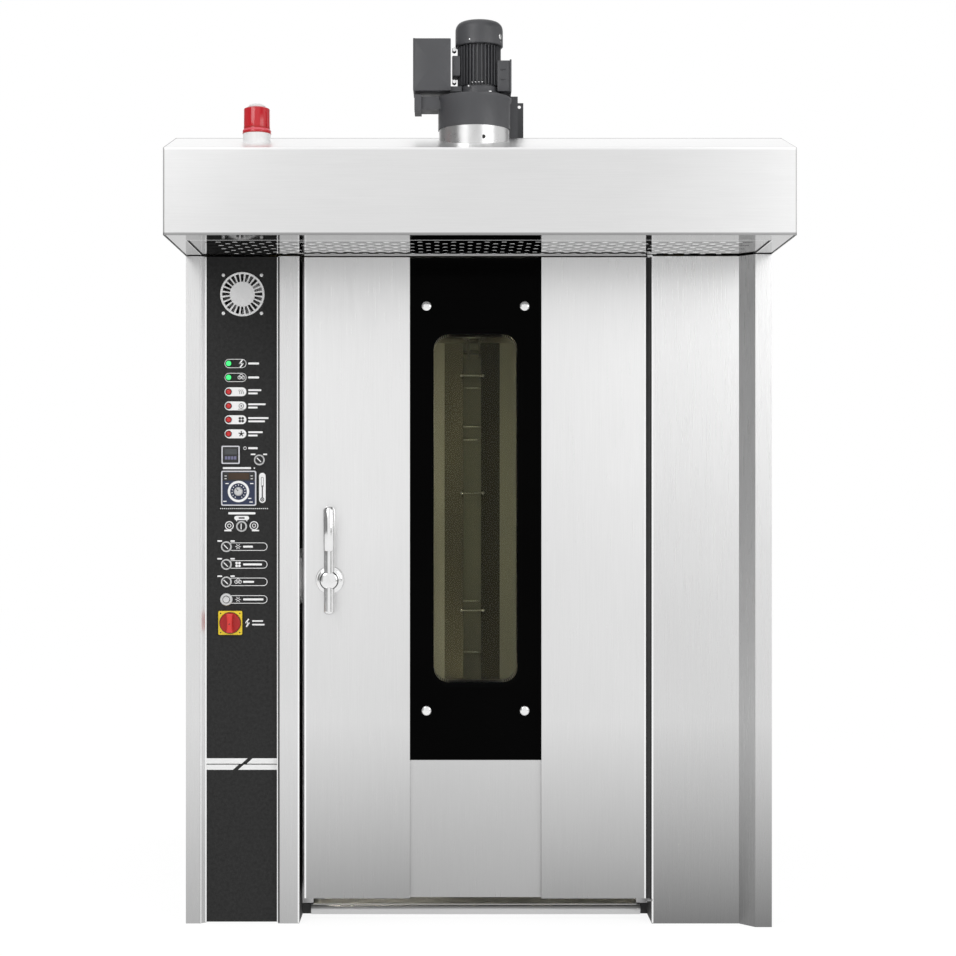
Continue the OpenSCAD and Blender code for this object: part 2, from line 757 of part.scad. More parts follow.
// Terminal box on the right of the motor, and the junction box with its lid and bracket on the left
module motor_boxes() color("dimgray") {
    y = blower_y;
    low = flange_top - 15;
    left = [motor_x - 173, motor_x - 74];
    difference() {
        union() {
            block([motor_x + 38, motor_x + 80], [y - 40, y + 40], [low, low + 81]);
            block([motor_x + 80, motor_x + 84], [y - 43, y + 43], [low - 2, low + 83]);
            block([left[1], motor_x], [y - 36, y + 36], [low, low + 14]);
        }
        bar_z(motor_x, y, [low - 9, flange_top + far], motor_d / 2 - 4);
        bar_z(motor_x, y, [flange_top, motor_top], motor_d / 2);
    }
    pan(left, [y - 48, y + 46], [low, low + 137], sheet);
    block(left, [y + 46, y + 48], [low, low + 137]);
}

// Small side outlet on the left, and the exhaust duct behind the blower with its bolted flange
module outlet_ducts() color("dimgray") {
    r = blower_d / 2;
    z = outlet_z;
    difference() {
        union() {
            block([blower_x - r - 44, blower_x - 60], [blower_y - 34, blower_y + 34], z);
            block([blower_x - r - 62, blower_x - r - 44], [blower_y - 44, blower_y + 44], [z[0] - 4, z[1] + 4]);
        }
        block([blower_x - r - 70, blower_x - 50], [blower_y - 32, blower_y + 32], [z[0] + 2, z[1] - 2]);
        bar_z(blower_x, blower_y, [z[0] - far, z[1] + far], r);
        bar_z(blower_x, blower_y, [housing_top - 9, z[1] + far], r + 3.5);
    }
    difference() {
        union() {
            block(duct_x, duct_y, [roof_z, roof_z + duct_h]);
            block([duct_x[0] - duct_flange, duct_x[1] + duct_flange], [duct_y[1], duct_y[1] + 4],
                [roof_z, roof_z + duct_h + duct_flange]);
        }
        block([duct_x[0] + sheet, duct_x[1] - sheet], [duct_y[0] + sheet, duct_y[1] + 9],
            [roof_z + sheet, roof_z + duct_h - sheet]);
        bar_z(blower_x, blower_y, [roof_z - far, roof_z + duct_h + far], r + 3.5);
        for (x = duct_bolt_x, z = duct_bolt_z) bar_y([x, z], [duct_y[1] - far, duct_y[1] + 9], duct_bolt_r);
    }
}

// ---- Controls ----

// Slotted vent grille, its four screws and the fan frame behind the panel
module vent_grille() color("white") {
    slots = 24;
    slot_r = [vent_d / 2 - 27, vent_d / 2 - 5.5];
    open_angle = 10;
    face = [panel_y - 4, panel_y];
    frame_y = [panel_y + panel_t, panel_y + panel_t + 25];
    difference() {
        bar_y(vent_at, face, vent_d / 2);
        for (i = [0:slots - 1]) translate([vent_at[0], face[1] + far, vent_at[1]])
            rotate([90, i * 360 / slots, 0]) linear_extrude(face[1] - face[0] + 2 * far)
                polygon([for (p = [[0, -1], [0, 1], [1, 1], [1, -1]])
                    slot_r[p[0]] * [cos(open_angle / 2), p[1] * sin(open_angle / 2)]]);
    }
    difference() {
        square_block(vent_at, vent_d - 3, frame_y);
        bar_y(vent_at, [frame_y[0] - far, frame_y[1] - 3], vent_d / 2 - 4);
        bar_y(vent_at, [frame_y[1] - 4, frame_y[1] + far], vent_d / 2 - 22);
        for (sx = [-1, 1], sz = [-1, 1])
            bar_y(vent_at + [sx, sz] * vent_pitch / 2, [frame_y[0] - far, frame_y[1] + far], 2.2);
    }
    for (a = [0, 90]) translate([vent_at[0], frame_y[1] - 3, vent_at[1]]) rotate([0, a, 0])
        translate([-vent_d / 2 + 4, 0, -4]) cube([vent_d - 8, 3, 8]);
    bar_y(vent_at, [frame_y[0] + 4, frame_y[1]], 3);
    for (sx = [-1, 1], sz = [-1, 1]) {
        bar_y(vent_at + [sx, sz] * vent_pitch / 2, [panel_y - 2.5, panel_y], 5);
        bar_y(vent_at + [sx, sz] * vent_pitch / 2, [panel_y, frame_y[1]], 2.1);
    }
}

// Fan wheel behind the vent, on the frame's pin
module cooling_fan_rotor() color("dimgray") {
    y = [panel_y + panel_t + 3, panel_y + panel_t + 20];
    r = vent_d / 2 - 7;
    difference() {
        union() {
            bar_y(vent_at, y, 20);
            for (a = [0:360 / 7:359]) translate([vent_at[0], (y[0] + y[1]) / 2, vent_at[1]]) rotate([0, a, 0])
                rotate([30, 0, 0]) translate([16, -1, -9]) cube([r - 17, 2, 18]);
        }
        bar_y(vent_at, [y[0] - far, y[1] + far], 3 + run_gap);
    }
}

// Round indicator lamps: a lens on a threaded body
module lamp(at) {
    bar_y(at, [panel_y - 5, panel_y], lamp_d / 2);
    bar_y(at, [panel_y, panel_y + 28], lamp_d / 2 - 1);
}
module status_lamps() color("limegreen") {
    for (p = green_at) lamp(p);
}
module fault_lamps() color("firebrick") {
    for (p = red_at) lamp(p);
}

// Timer and temperature controller: a bezel in front and the case behind the panel
module timer_module() color("slategray") {
    square_block(timer_at, timer_w, [panel_y - 6, panel_y]);
    square_block(timer_at, timer_w - 4, [panel_y, panel_y + 78]);
}
module temperature_controller() color("midnightblue") {
    difference() {
        union() {
            square_block(controller_at, controller_w, [panel_y - 8, panel_y]);
            square_block(controller_at, controller_w - 5, [panel_y, panel_y + 80]);
        }
        bar_y(dial_at, [panel_y - 9, panel_y + 22], 3 + run_gap);
    }
}

// Bezels of the selectors and the ring of the alarm button, each with its barrel
module selector_bezels() color("silver") {
    for (p = selectors) difference() {
        union() {
            bar_y(p, [panel_y - bezel_t, panel_y], selector_d / 2);
            bar_y(p, [panel_y, panel_y + 42], barrel_in);
        }
        bar_y(p, [panel_y - bezel_t - far, panel_y + 50], stem_r + run_gap);
    }
    difference() {
        union() {
            bar_y(alarm_at, [panel_y - bezel_t, panel_y], button_d / 2);
            bar_y(alarm_at, [panel_y, panel_y + 42], barrel_in);
        }
        bar_y(alarm_at, [panel_y - bezel_t - far, panel_y + 30], barrel_in - 1.6);
    }
}

// Yellow plate of the main switch with the switch body behind it
module power_switch_plate() color("gold") {
    difference() {
        union() {
            square_block(switch_at, switch_w, [panel_y - 6, panel_y]);
            square_block(switch_at, switch_w - 16, [panel_y, panel_y + 56]);
        }
        bar_y(switch_at, [panel_y - 9, panel_y + 40], 5 + run_gap);
    }
}

// A knob that turns on a stem: a disc, a grip across it and the stem
module knob(at, face_y, r, disc_t, grip, stem, stem_y, turn = 0) {
    bar_y(at, [face_y - run_gap - disc_t, face_y - run_gap], r);
    translate([at[0], face_y - run_gap - disc_t - grip[2], at[1]]) rotate([0, turn, 0])
        translate([-grip[0] / 2, 0, -grip[1] / 2]) cube([grip[0], grip[2] + disc_t / 2, grip[1]]);
    bar_y(at, [face_y - run_gap, stem_y], stem);
}
module selector(at, turn) {
    knob(at, panel_y - bezel_t, selector_d / 2 - 3.5, 4, [6, selector_d - 8, 9], stem_r, panel_y + 36, turn);
}
module timer_knob() color("silver") selector(timer_knob_at, -45);
module fan_knob() color("silver") selector(fan_knob_at, 0);
module light_knob() color("silver") selector(light_knob_at, -45);
module mode_knob() color("silver") selector(mode_knob_at, -45);
module steam_knob() color("silver") selector(steam_knob_at, -45);
module temp_dial() color("silver") knob(dial_at, panel_y - 8, 12, 9, [3, 20, 2], 3, panel_y + 20, -30);
module power_handle() color("red") knob(switch_at, panel_y - 6, 29, 7, [17, 52, 15], 5, panel_y + 36);

// Spring-loaded button of the alarm
module alarm_button() color("silver") {
    bar_y(alarm_at, [panel_y - bezel_t - 5, panel_y + 12], barrel_in - 1.6 - run_gap);
}

// ---- Door ----

// Insulated door box: back sheet, edges, window tunnel and the long hinge barrel
module door_shell() color("gainsboro") {
    x = [door_x0, door_x1];
    z = [door_z, door_top];
    window = [glass_cx - window_w / 2, glass_cx + window_w / 2];
    window_span = [window_z, window_z + window_h];
    pane_y = door_back - door_sheet - glass_t;
    difference() {
        union() {
            pan(x, [shell_y, door_back], z, door_sheet, "-y");
            rounded_plate(window + [-3, 3], [shell_y, pane_y], window_span + [-3, 3], window_r + 3);
            for (rail_z = [handle_z - bolt_h / 2 - 7, handle_z + bolt_h / 2 + 1])
                block([door_x0, handle_x - 20], [bolt_y - 1, bolt_y + bolt_t + 1], [rail_z, rail_z + 6]);
            block([door_x1, door_x1 + 3], [front_y, shell_y + 20], z);
            bar_z(hinge_x, hinge_y, z, barrel_r);
        }
        rounded_plate(window, [shell_y - far, door_back + far], window_span, window_r);
        block([door_x0 - far, door_x0 + 9], [bolt_y - 1, bolt_y + bolt_t + 1],
            [handle_z - bolt_h / 2 - 1, handle_z + bolt_h / 2 + 1]);
        bar_z(hinge_x, hinge_y, [door_z - far, door_z + 26], hinge_pin_r + 0.3);
        bar_z(hinge_x, hinge_y, [door_top - 26, door_top + far], hinge_pin_r + 0.3);
    }
}

// Raised box-shaped covers at both sides of the glass
module door_wings() color("gainsboro") {
    z = [door_z, door_top];
    difference() {
        pan([door_x0, glass_x0], [front_y, shell_y], z, sheet);
        bar_y([handle_x, handle_z], [front_y - far, front_y + 9], handle_shaft_d / 2 + 1);
    }
    pan([glass_x1, door_x1], [front_y, shell_y], z, sheet);
}

// Steel panel below the glass
module door_lower_panel() color("gainsboro") {
    block([glass_x0, glass_x1], [glass_y, shell_y], [door_z, glass_z - 1]);
}

// Outer pane with its dark border, and the inner pane
module outer_glass() color([0.05, 0.05, 0.06, 0.6]) {
    block([glass_x0, glass_x1], [glass_y, shell_y], [glass_z, door_top]);
}
module inner_glass() color([0.8, 0.9, 0.9, 0.3]) {
    rounded_plate([glass_cx - window_w / 2 - 24, glass_cx + window_w / 2 + 24],
        [door_back - door_sheet - glass_t, door_back - door_sheet],
        [window_z - 24, window_z + window_h + 24], window_r);
}

// Four caps that hold the outer pane
module glass_caps() color("silver") {
    for (x = [glass_cx - window_w / 2 - 20, glass_cx + window_w / 2 + 20],
        z = [window_z - 78, window_z + window_h + 78])
        bar_y([x, z], [glass_y - 5, glass_y], glass_cap_d / 2);
}

// Round boss that guides the handle's shaft
module handle_boss() color("silver") {
    difference() {
        union() {
            bar_y([handle_x, handle_z], [front_y - 16, front_y], handle_boss_d / 2);
            bar_y([handle_x, handle_z], [front_y - 24, front_y - 16], handle_boss_d / 2 - 6);
        }
        bar_y([handle_x, handle_z], [front_y - 30, front_y + far], handle_shaft_d / 2 + run_gap);
    }
}

// Handle: cap, grip, neck and tail, and the shaft with the cam that drives the bolt
module handle_lever() color("silver") {
    at = [handle_x, handle_z];
    hub = [handle_y - 14, front_y - 24 - run_gap];
    neck_r = grip_d / 2 - 1.4;
    bar_y(at, [hub[1], bolt_y - 4], handle_shaft_d / 2);
    bar_y(at, [front_y + 24, bolt_y - 4], handle_shaft_d / 2 + 6);
    bar_y(at, hub, 27);
    bar_z(handle_x, handle_y, [handle_z, handle_z + 82], neck_r);
    translate([handle_x, handle_y, handle_z + 80]) rotate_extrude() polygon([[0, 0], [12, 0],
        [grip_d / 2, 6], [grip_d / 2, handle_up - 84], [grip_d / 2 - 3, handle_up - 80], [0, handle_up - 80]]);
    bar_z(handle_x, handle_y, [handle_z - handle_down, handle_z], neck_r);
}

// Sliding latch bolt behind the cam
module latch_bolt() color("silver") {
    block([door_x0 + run_gap, handle_x + 18], [bolt_y, bolt_y + bolt_t],
        [handle_z - bolt_h / 2, handle_z + bolt_h / 2]);
}

// ---- Turning pieces in the chamber and the blower ----

// A wheel of flat blades between a back plate and a ring, on a shaft
module fan_wheel(x, y, z, r, blades, inner_r, shaft, shaft_z) {
    bar_z(x, y, [z[1] - 3, z[1]], r);
    difference() {
        bar_z(x, y, [z[0], z[0] + 3], r);
        bar_z(x, y, [z[0] - far, z[0] + 4], inner_r);
    }
    for (i = [0:blades - 1]) translate([x, y, z[0] + 1]) rotate(i * 360 / blades) translate([inner_r + 1, 0, 0])
        rotate(28) translate([0, -1, 0]) cube([(r - inner_r) * 0.98 - 1, 2, z[1] - z[0] - 2]);
    bar_z(x, y, [z[0] + 20, shaft_z], shaft);
}
module circulation_impeller() color("silver") {
    z = [ceiling_z + 37, ceiling_z + 157];
    fan_wheel(0, fan_y, z, fan_wheel_d / 2, 16, fan_wheel_d / 3, shaft_r, roof_z + 96);
}
module blower_impeller() color("silver") {
    z = [collar_top + 8, housing_top - 8];
    fan_wheel(motor_x, blower_y, z, blower_d / 2 - 24, 18, 52, 8, housing_top + 56);
}

// Turntable that carries the rack: a disc with a low rim and a bore for the pivot
module turntable() color("silver") {
    z = floor_z + 4;
    difference() {
        union() {
            bar_z(0, centre_y, [z, z + 6], turntable_d / 2);
            bar_z(0, centre_y, [z, z + 10], 60);
        }
        bar_z(0, centre_y, [z - far, z + 11], 20);
    }
    difference() {
        bar_z(0, centre_y, [z + 6, z + 12], turntable_d / 2);
        bar_z(0, centre_y, [z + 5, z + 13], turntable_d / 2 - 5);
    }
}

// Spindle of the rack: the driven shaft, the fork and its cross pin
module rack_spindle() color("silver") {
    fork_z = ceiling_z - 75;
    bar_z(0, centre_y, [ceiling_z - 42, roof_z + 66], spindle_r);
    for (x = [-22, 14]) block([x, x + 8], [centre_y - 15, centre_y + 15], [fork_z - 16, ceiling_z - 40]);
    block([-22, 22], [centre_y - 15, centre_y + 15], [ceiling_z - 46, ceiling_z - 38]);
    bar_x([-34, 34], centre_y, fork_z, 6);
}

base_frame();
floor_pan();
side_panels();
rear_panel();
roof_panel();
insulation();
chamber_shell();
chamber_liners();
air_louvres();
heater_bank();
circulation_motor();
rotation_gearmotor();
spindle_bearing();
chamber_lamps();
steam_unit();
control_column();
control_panel();
right_column();
door_jamb();
door_seal();
hood_shell();
hood_filter();
beacon_base();
beacon_lens();
blower_collar();
blower_housing();
blower_motor();
motor_cowl();
motor_boxes();
outlet_ducts();
vent_grille();
status_lamps();
fault_lamps();
timer_module();
temperature_controller();
selector_bezels();
power_switch_plate();
latch_keeper();
door_shell();
door_wings();
door_lower_panel();
outer_glass();
inner_glass();
glass_caps();
handle_boss();
handle_lever();
latch_bolt();
circulation_impeller();
blower_impeller();
cooling_fan_rotor();
turntable();
rack_spindle();
temp_dial();
timer_knob();
fan_knob();
light_knob();
mode_knob();
steam_knob();
alarm_button();
power_handle();
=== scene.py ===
"""Looks of the rotating rack oven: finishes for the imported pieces, and finer pieces where the photograph shows more."""

import json
import math

import bpy
import numpy as np
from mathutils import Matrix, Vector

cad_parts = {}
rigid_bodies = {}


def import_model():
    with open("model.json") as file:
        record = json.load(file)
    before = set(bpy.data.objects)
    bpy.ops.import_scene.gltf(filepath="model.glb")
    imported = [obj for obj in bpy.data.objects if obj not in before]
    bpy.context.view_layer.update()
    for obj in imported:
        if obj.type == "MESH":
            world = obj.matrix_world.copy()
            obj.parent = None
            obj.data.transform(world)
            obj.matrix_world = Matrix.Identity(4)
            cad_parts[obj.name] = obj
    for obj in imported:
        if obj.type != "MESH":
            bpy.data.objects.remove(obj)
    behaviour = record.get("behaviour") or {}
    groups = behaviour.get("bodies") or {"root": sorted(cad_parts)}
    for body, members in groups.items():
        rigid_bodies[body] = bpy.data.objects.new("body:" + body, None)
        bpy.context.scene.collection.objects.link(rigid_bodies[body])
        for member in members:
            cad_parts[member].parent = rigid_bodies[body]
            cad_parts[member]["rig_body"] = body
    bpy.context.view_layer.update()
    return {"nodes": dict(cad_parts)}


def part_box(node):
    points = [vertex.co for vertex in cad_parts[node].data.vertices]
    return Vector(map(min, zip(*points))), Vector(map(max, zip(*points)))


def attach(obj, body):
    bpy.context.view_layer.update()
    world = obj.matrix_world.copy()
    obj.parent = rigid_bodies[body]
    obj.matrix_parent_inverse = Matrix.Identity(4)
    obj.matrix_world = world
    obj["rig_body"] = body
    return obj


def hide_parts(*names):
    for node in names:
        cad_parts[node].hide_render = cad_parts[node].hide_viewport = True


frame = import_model()
nodes = frame["nodes"]

# ---- Camera, in metres, from the plane of the door's front ----

FRONT = -0.540
CAMERA_DISTANCE = 5.26
CAMERA_X = -0.0756
CAMERA_Z = 1.1646
CAMERA_REACH = 60
MM_PER_PIXEL = 2.75
IMAGE = 956
AXIS_PX = (450.0, 500.0)
SENSOR = 36.0


def stand(name, data, location, turn):
    """A camera or lamp as an object at a place, turned by Euler angles in degrees."""
    thing = bpy.data.objects.new(name, data)
    thing.location = location
    thing.rotation_euler = [math.radians(a) for a in turn]
    bpy.context.scene.collection.objects.link(thing)
    return thing


def make_camera():
    """A level camera looking along +Y; its shift puts the vanishing point at the pixel AXIS_PX."""
    data = bpy.data.cameras.new("camera")
    data.sensor_width = SENSOR
    data.lens = CAMERA_DISTANCE * 1000 / MM_PER_PIXEL / IMAGE * SENSOR
    data.shift_x = (IMAGE / 2 - AXIS_PX[0]) / IMAGE
    data.shift_y = (AXIS_PX[1] - IMAGE / 2) / IMAGE
    data.clip_end = CAMERA_REACH
    bpy.context.scene.camera = stand("camera", data, (CAMERA_X, FRONT - CAMERA_DISTANCE, CAMERA_Z), (90, 0, 0))


def area_light(name, location, turn, size, watts):
    """A rectangular soft lamp."""
    data = bpy.data.lights.new(name, "AREA")
    data.shape = "RECTANGLE"
    data.size, data.size_y = size
    data.energy = watts
    stand(name, data, location, turn)


# ---- Node trees ----


def rgb(colour):
    """Three numbers from a grey level or a colour."""
    return (colour,) * 3 if isinstance(colour, (int, float)) else tuple(colour)


# Nearly all of a noise lies between these two values.
NOISE_LOW, NOISE_HIGH = 0.3, 0.7


class Tree:
    """Short words for building the nodes of a material or world, on an empty tree or after what is there."""

    def __init__(self, owner, clear=True):
        owner.use_nodes = True
        self.tree = owner.node_tree
        if clear:
            self.tree.nodes.clear()

    def add(self, kind, sockets=(), **settings):
        """A shader node with its settings, and (name, constant) pairs for its sockets."""
        node = self.tree.nodes.new("ShaderNode" + kind)
        for key, value in settings.items():
            setattr(node, key, value)
        for key, value in sockets:
            node.inputs[key].default_value = value
        return node

    def link(self, a, b):
        self.tree.links.new(a, b)

    def noise(self, scale, stretch=(1, 1, 1), detail=3):
        """Noise on the object's own coordinates, its cells stretched along the axes."""
        mapping = self.add("Mapping", [("Scale", stretch)])
        noise = self.add("TexNoise", [("Scale", scale), ("Detail", detail)])
        self.link(self.add("TexCoord").outputs["Object"], mapping.inputs["Vector"])
        self.link(mapping.outputs["Vector"], noise.inputs["Vector"])
        return noise.outputs["Fac"]

    def axis(self, name, source="Object"):
        """One of the object's own coordinates, or of the world's directions."""
        split = self.add("SeparateXYZ")
        self.link(self.add("TexCoord").outputs[source], split.inputs[0])
        return split.outputs[name]

    def ramp(self, value, stops):
        """Colours by value: stops are (position, colour), the colour a grey level or three numbers."""
        node = self.add("ValToRGB")
        elements = node.color_ramp.elements
        while len(elements) < len(stops):
            elements.new(0.5)
        for element, (position, colour) in zip(elements, stops):
            element.position = position
            element.color = (*rgb(colour), 1)
        self.link(value, node.inputs["Fac"])
        return node.outputs["Color"]

    def clouds(self, noise, low, high):
        """Colours from low to high over a noise."""
        return self.ramp(noise, [(NOISE_LOW, low), (NOISE_HIGH, high)])

    def vary(self, noise, low, high):
        """Numbers from low to high over a noise."""
        return self.spread(noise, NOISE_LOW, NOISE_HIGH, low, high)

    def spread(self, value, low, high, to_low, to_high):
        """A value between low and high, carried in a straight line to between to_low and to_high."""
        node = self.add("MapRange", zip(("From Min", "From Max", "To Min", "To Max"), (low, high, to_low, to_high)))
        self.link(value, node.inputs["Value"])
        return node.outputs["Result"]

    def multiply(self, a, b):
        node = self.add("Mix", [("Factor", 1.0)], data_type="RGBA", blend_type="MULTIPLY")
        self.link(a, node.inputs["A"])
        self.link(b, node.inputs["B"])
        return node.outputs["Result"]

    def bump(self, height, distance, strength):
        node = self.add("Bump", [("Strength", strength), ("Distance", distance)])
        self.link(height, node.inputs["Height"])
        return node.outputs["Normal"]

    def plain(self, kind, tone, sockets=()):
        """A shader of one tone."""
        return self.add(kind, [("Color", (*rgb(tone), 1)), *sockets]).outputs[0]

    def mix(self, share, a, b):
        """The shaders a and b, mixed by share."""
        node = self.add("MixShader")
        for value, socket in zip((share, a, b), node.inputs):
            self.link(value, socket)
        return node.outputs[0]

    def on_rays(self, *kinds):
        """One on rays of either of two kinds, and nothing on the rest."""
        path = self.add("LightPath")
        either = self.add("Math", operation="MAXIMUM")
        for kind, socket in zip(kinds, either.inputs):
            self.link(path.outputs[kind], socket)
        return either.outputs[0]

    def end(self, kind, shader):
        self.link(shader, self.add(kind).inputs["Surface"])


def principled(material):
    return next(n for n in material.node_tree.nodes if n.type == "BSDF_PRINCIPLED")


def finish(name, colour, rough, bump=None, **sockets):
    """A material from a function that gives its colour, one that gives its roughness and one that gives its normal."""
    material = bpy.data.materials.new(name)
    tree = Tree(material)
    shader = tree.add("BsdfPrincipled", [(key.replace("_", " "), value) for key, value in sockets.items()])
    tree.link(colour(tree), shader.inputs["Base Color"])
    tree.link(rough(tree), shader.inputs["Roughness"])
    if bump:
        tree.link(bump(tree), shader.inputs["Normal"])
    tree.end("OutputMaterial", shader.outputs["BSDF"])
    return material


# ---- Finishes ----

ALONG = {"x": (1, 60, 60), "z": (60, 60, 1)}


def shade(tone, share, other):
    """A tone between two tones, each a grey level or a colour."""
    return tuple(share * a + (1 - share) * b for a, b in zip(rgb(tone), rgb(other)))


def brushed(name, top, bottom, grain="z", rough=0.3, heights=(0.0, 1.85), painted_top_light=0.95):
    """Brushed steel: fine stretched grain, cloudy variation, and painted light and shade as a slow change of tone from
    bottom to top.
    """

    def colour(t):
        # Painted light and shade: the tone follows the height, and painted_top_light scales the topmost tone as painted
        # light.
        height = t.spread(t.axis("Z"), *heights, 0, 1)
        tone = t.ramp(height, [(0, bottom), (0.3, shade(top, 0.85, bottom)), (0.6, top), (1, shade(top, painted_top_light, 0))])
        grain_tone = t.clouds(t.noise(9, ALONG[grain], 4), 0.965, 1.0)
        return t.multiply(t.multiply(tone, grain_tone), t.clouds(t.noise(1.7, detail=2), 0.95, 1.0))

    return finish(name, colour, lambda t: t.vary(t.noise(7, ALONG[grain], 4), rough - 0.05, rough + 0.06),
                  lambda t: t.bump(t.noise(14, ALONG[grain], 3), 0.0002, 0.05), Metallic=1.0)


def polished(name, tone, rough):
    """Polished metal with faint handling marks."""
    return finish(name, lambda t: t.clouds(t.noise(30, detail=4), tone * 0.92, tone),
                  lambda t: t.vary(t.noise(60, detail=5), rough, rough + 0.08), Metallic=1.0)


def coated(name, low, high, rough, grain=900.0, depth=0.0002, **sockets):
    """Paint or plastic with a fine orange-peel or pebbled surface and slight clouding."""
    return finish(name, lambda t: t.clouds(t.noise(5, detail=3), low, high),
                  lambda t: t.vary(t.noise(40, detail=3), rough - 0.05, rough + 0.06),
                  lambda t: t.bump(t.noise(grain, detail=2), depth, 0.35), **sockets)


def speckled(name, base, speck, rough):
    """Black powder coat with the small pale specks of its texture."""
    return finish(name, lambda t: t.ramp(t.noise(420, detail=2), [(0.5, base), (0.72, speck)]),
                  lambda t: t.vary(t.noise(120, detail=3), rough - 0.08, rough + 0.08),
                  lambda t: t.bump(t.noise(420, detail=2), 0.0004, 0.5))


def glowing(name, colour, strength, rough=0.25):
    """A lens or display lit from inside, over its own coloured plastic."""
    material = coated(name, colour, colour, rough)
    lit = principled(material).inputs
    lit["Emission Color"].default_value = (*colour, 1)
    lit["Emission Strength"].default_value = strength
    return material


def make_glass(name, tint, rough, ior):
    """A pane: mostly see-through, with a clear gloss that grows at grazing angles."""
    material = bpy.data.materials.new(name)
    t = Tree(material)
    gloss = t.add("BsdfGlossy", [("Roughness", rough)])
    t.link(t.clouds(t.noise(3, detail=4), 0.9, 1.0), gloss.inputs["Color"])
    mirror = t.add("Fresnel", [("IOR", ior)]).outputs[0]
    t.end("OutputMaterial", t.mix(mirror, t.plain("BsdfTransparent", tint), gloss.outputs[0]))
    return material


# ---- Surfaces worked out with numpy ----

# The radius at which a profile starts or ends on its axis, and the least size of a rounded corner.
POLE = 0.0002
LEAST = 1e-5


def loft(rings, closed=True):
    """Points and faces of a skin over rings[m, n, 3]: quads between rings, and a fan over each end if closed."""
    rings = np.asarray(rings, float)
    m, n = rings.shape[:2]
    i, j = np.meshgrid(np.arange(m - 1), np.arange(n), indexing="ij")
    k = (j + 1) % n
    faces = np.stack([i * n + j, i * n + k, (i + 1) * n + k, (i + 1) * n + j], -1).reshape(-1, 4).tolist()
    points = rings.reshape(-1, 3)
    if closed:
        points = np.vstack([points, rings[0].mean(0), rings[-1].mean(0)])
        here, after, last = np.arange(n), (np.arange(n) + 1) % n, (m - 1) * n
        faces += np.stack([np.full(n, m * n), after, here], -1).tolist()
        faces += np.stack([np.full(n, m * n + 1), here + last, after + last], -1).tolist()
    return points, faces


def join(parts):
    """Several (points, faces) as one."""
    points, faces, count = [], [], 0
    for p, f in parts:
        points.append(p)
        faces += [[v + count for v in face] for face in f]
        count += len(p)
    return np.vstack(points), faces


def frame_axes(axis):
    """Two directions across an axis and the axis itself, right-handed."""
    return np.roll(np.eye(3), {"x": -1, "y": -2, "z": 0}[axis], axis=0)


def circle(turns):
    """Points (cosine, sine) round the unit circle."""
    a = np.linspace(0, 2 * np.pi, turns, endpoint=False)
    return np.stack([np.cos(a), np.sin(a)], -1)


def lathe(profile, centre, axis, turns):
    """A profile of (radius, distance along the axis) turned round the axis through centre, closed at both ends.
    A profile whose area comes out negative runs downwards, and is turned round to face outwards."""
    profile = np.asarray(profile, float)
    r, along = np.vstack([[0, profile[0, 1]], profile, [0, profile[-1, 1]]]).T
    if np.sum(r * np.roll(along, -1) - np.roll(r, -1) * along) < 0:
        profile = profile[::-1]
    u, v, w = frame_axes(axis)
    round_it = circle(turns) @ [u, v]
    return loft(profile[:, None, :1] * round_it + profile[:, None, 1:] * w + np.asarray(centre, float))


def lathe_ring(profile, centre, axis="y", turns=40):
    """A profile turned round the axis with its first and last points joined: a closed ring."""
    points, faces = lathe([*profile, profile[0]], centre, axis, turns)
    count = (len(profile) + 1) * turns
    return points[:count], [f for f in faces if max(f) < count]


def rounded_outline(width, height, radius, steps=5, centre=(0, 0)):
    """Points round a rectangle with round corners, counter-clockwise."""
    radius = max(min(radius, width / 2 - LEAST, height / 2 - LEAST), LEAST)
    angle = np.linspace(0, np.pi / 2, steps + 1)
    corners = []
    for k, (sx, sy) in enumerate(((1, 1), (-1, 1), (-1, -1), (1, -1))):
        a = angle + k * np.pi / 2
        corners.append(np.stack([sx * (width / 2 - radius) + radius * np.cos(a),
                                 sy * (height / 2 - radius) + radius * np.sin(a)], -1))
    return np.vstack(corners) + centre


def slab(low, high, axis, corner, edge, steps=4):
    """A block between two corners with round corners across the axis and softened edges at both its ends:
    rounded rectangles stacked along the axis, drawn in by a quarter circle at each end."""
    low, high = np.asarray(low, float), np.asarray(high, float)
    u, v, w = frame_axes(axis)
    size, centre = high - low, (low + high) / 2
    width, height, length = (abs(size @ way) for way in (u, v, w))
    angle = np.linspace(0, np.pi / 2, steps)
    stack = [(edge * (1 - np.sin(a)), -length / 2 + edge * (1 - np.cos(a))) for a in angle]
    stack += [(inset, -place) for inset, place in reversed(stack)]
    return loft([rounded_outline(width - 2 * inset, height - 2 * inset, corner - inset) @ [u, v] + place * w + centre
                 for inset, place in stack])


def upright_rings(outlines, depths):
    """Outlines of (x, z) points stood up at depths, as rings."""
    return [np.stack([o[:, 0], np.full(len(o), y), o[:, 1]], -1) for o, y in zip(outlines, depths)]


def ring_plate(outer, inner, y):
    """A flat frame between two outlines with as many points, both (x, z), from y[0] in front to y[1] behind."""
    return loft(upright_rings((outer, inner, inner, outer, outer), (y[0], y[0], y[1], y[1], y[0])), closed=False)


def turned(part, degrees, centre, axis="y"):
    """A part turned about the axis through centre: the two coordinates across it mix by the sine and cosine."""
    points, faces = part
    a = math.radians(degrees)
    p, across = points - centre, (2, 0) if axis == "y" else (0, 1)
    first, second = p[:, across[0]].copy(), p[:, across[1]].copy()
    p[:, across[0]] = first * math.cos(a) - second * math.sin(a)
    p[:, across[1]] = first * math.sin(a) + second * math.cos(a)
    return p + centre, faces


def arc(start, reach, steps, span=np.pi / 2):
    """Profile points round an ellipse: the radius goes by the sine, and the place along the axis by the cosine."""
    return [(start[0] + reach[0] * math.sin(a), start[1] + reach[1] * math.cos(a)) for a in np.linspace(0, span, steps)]
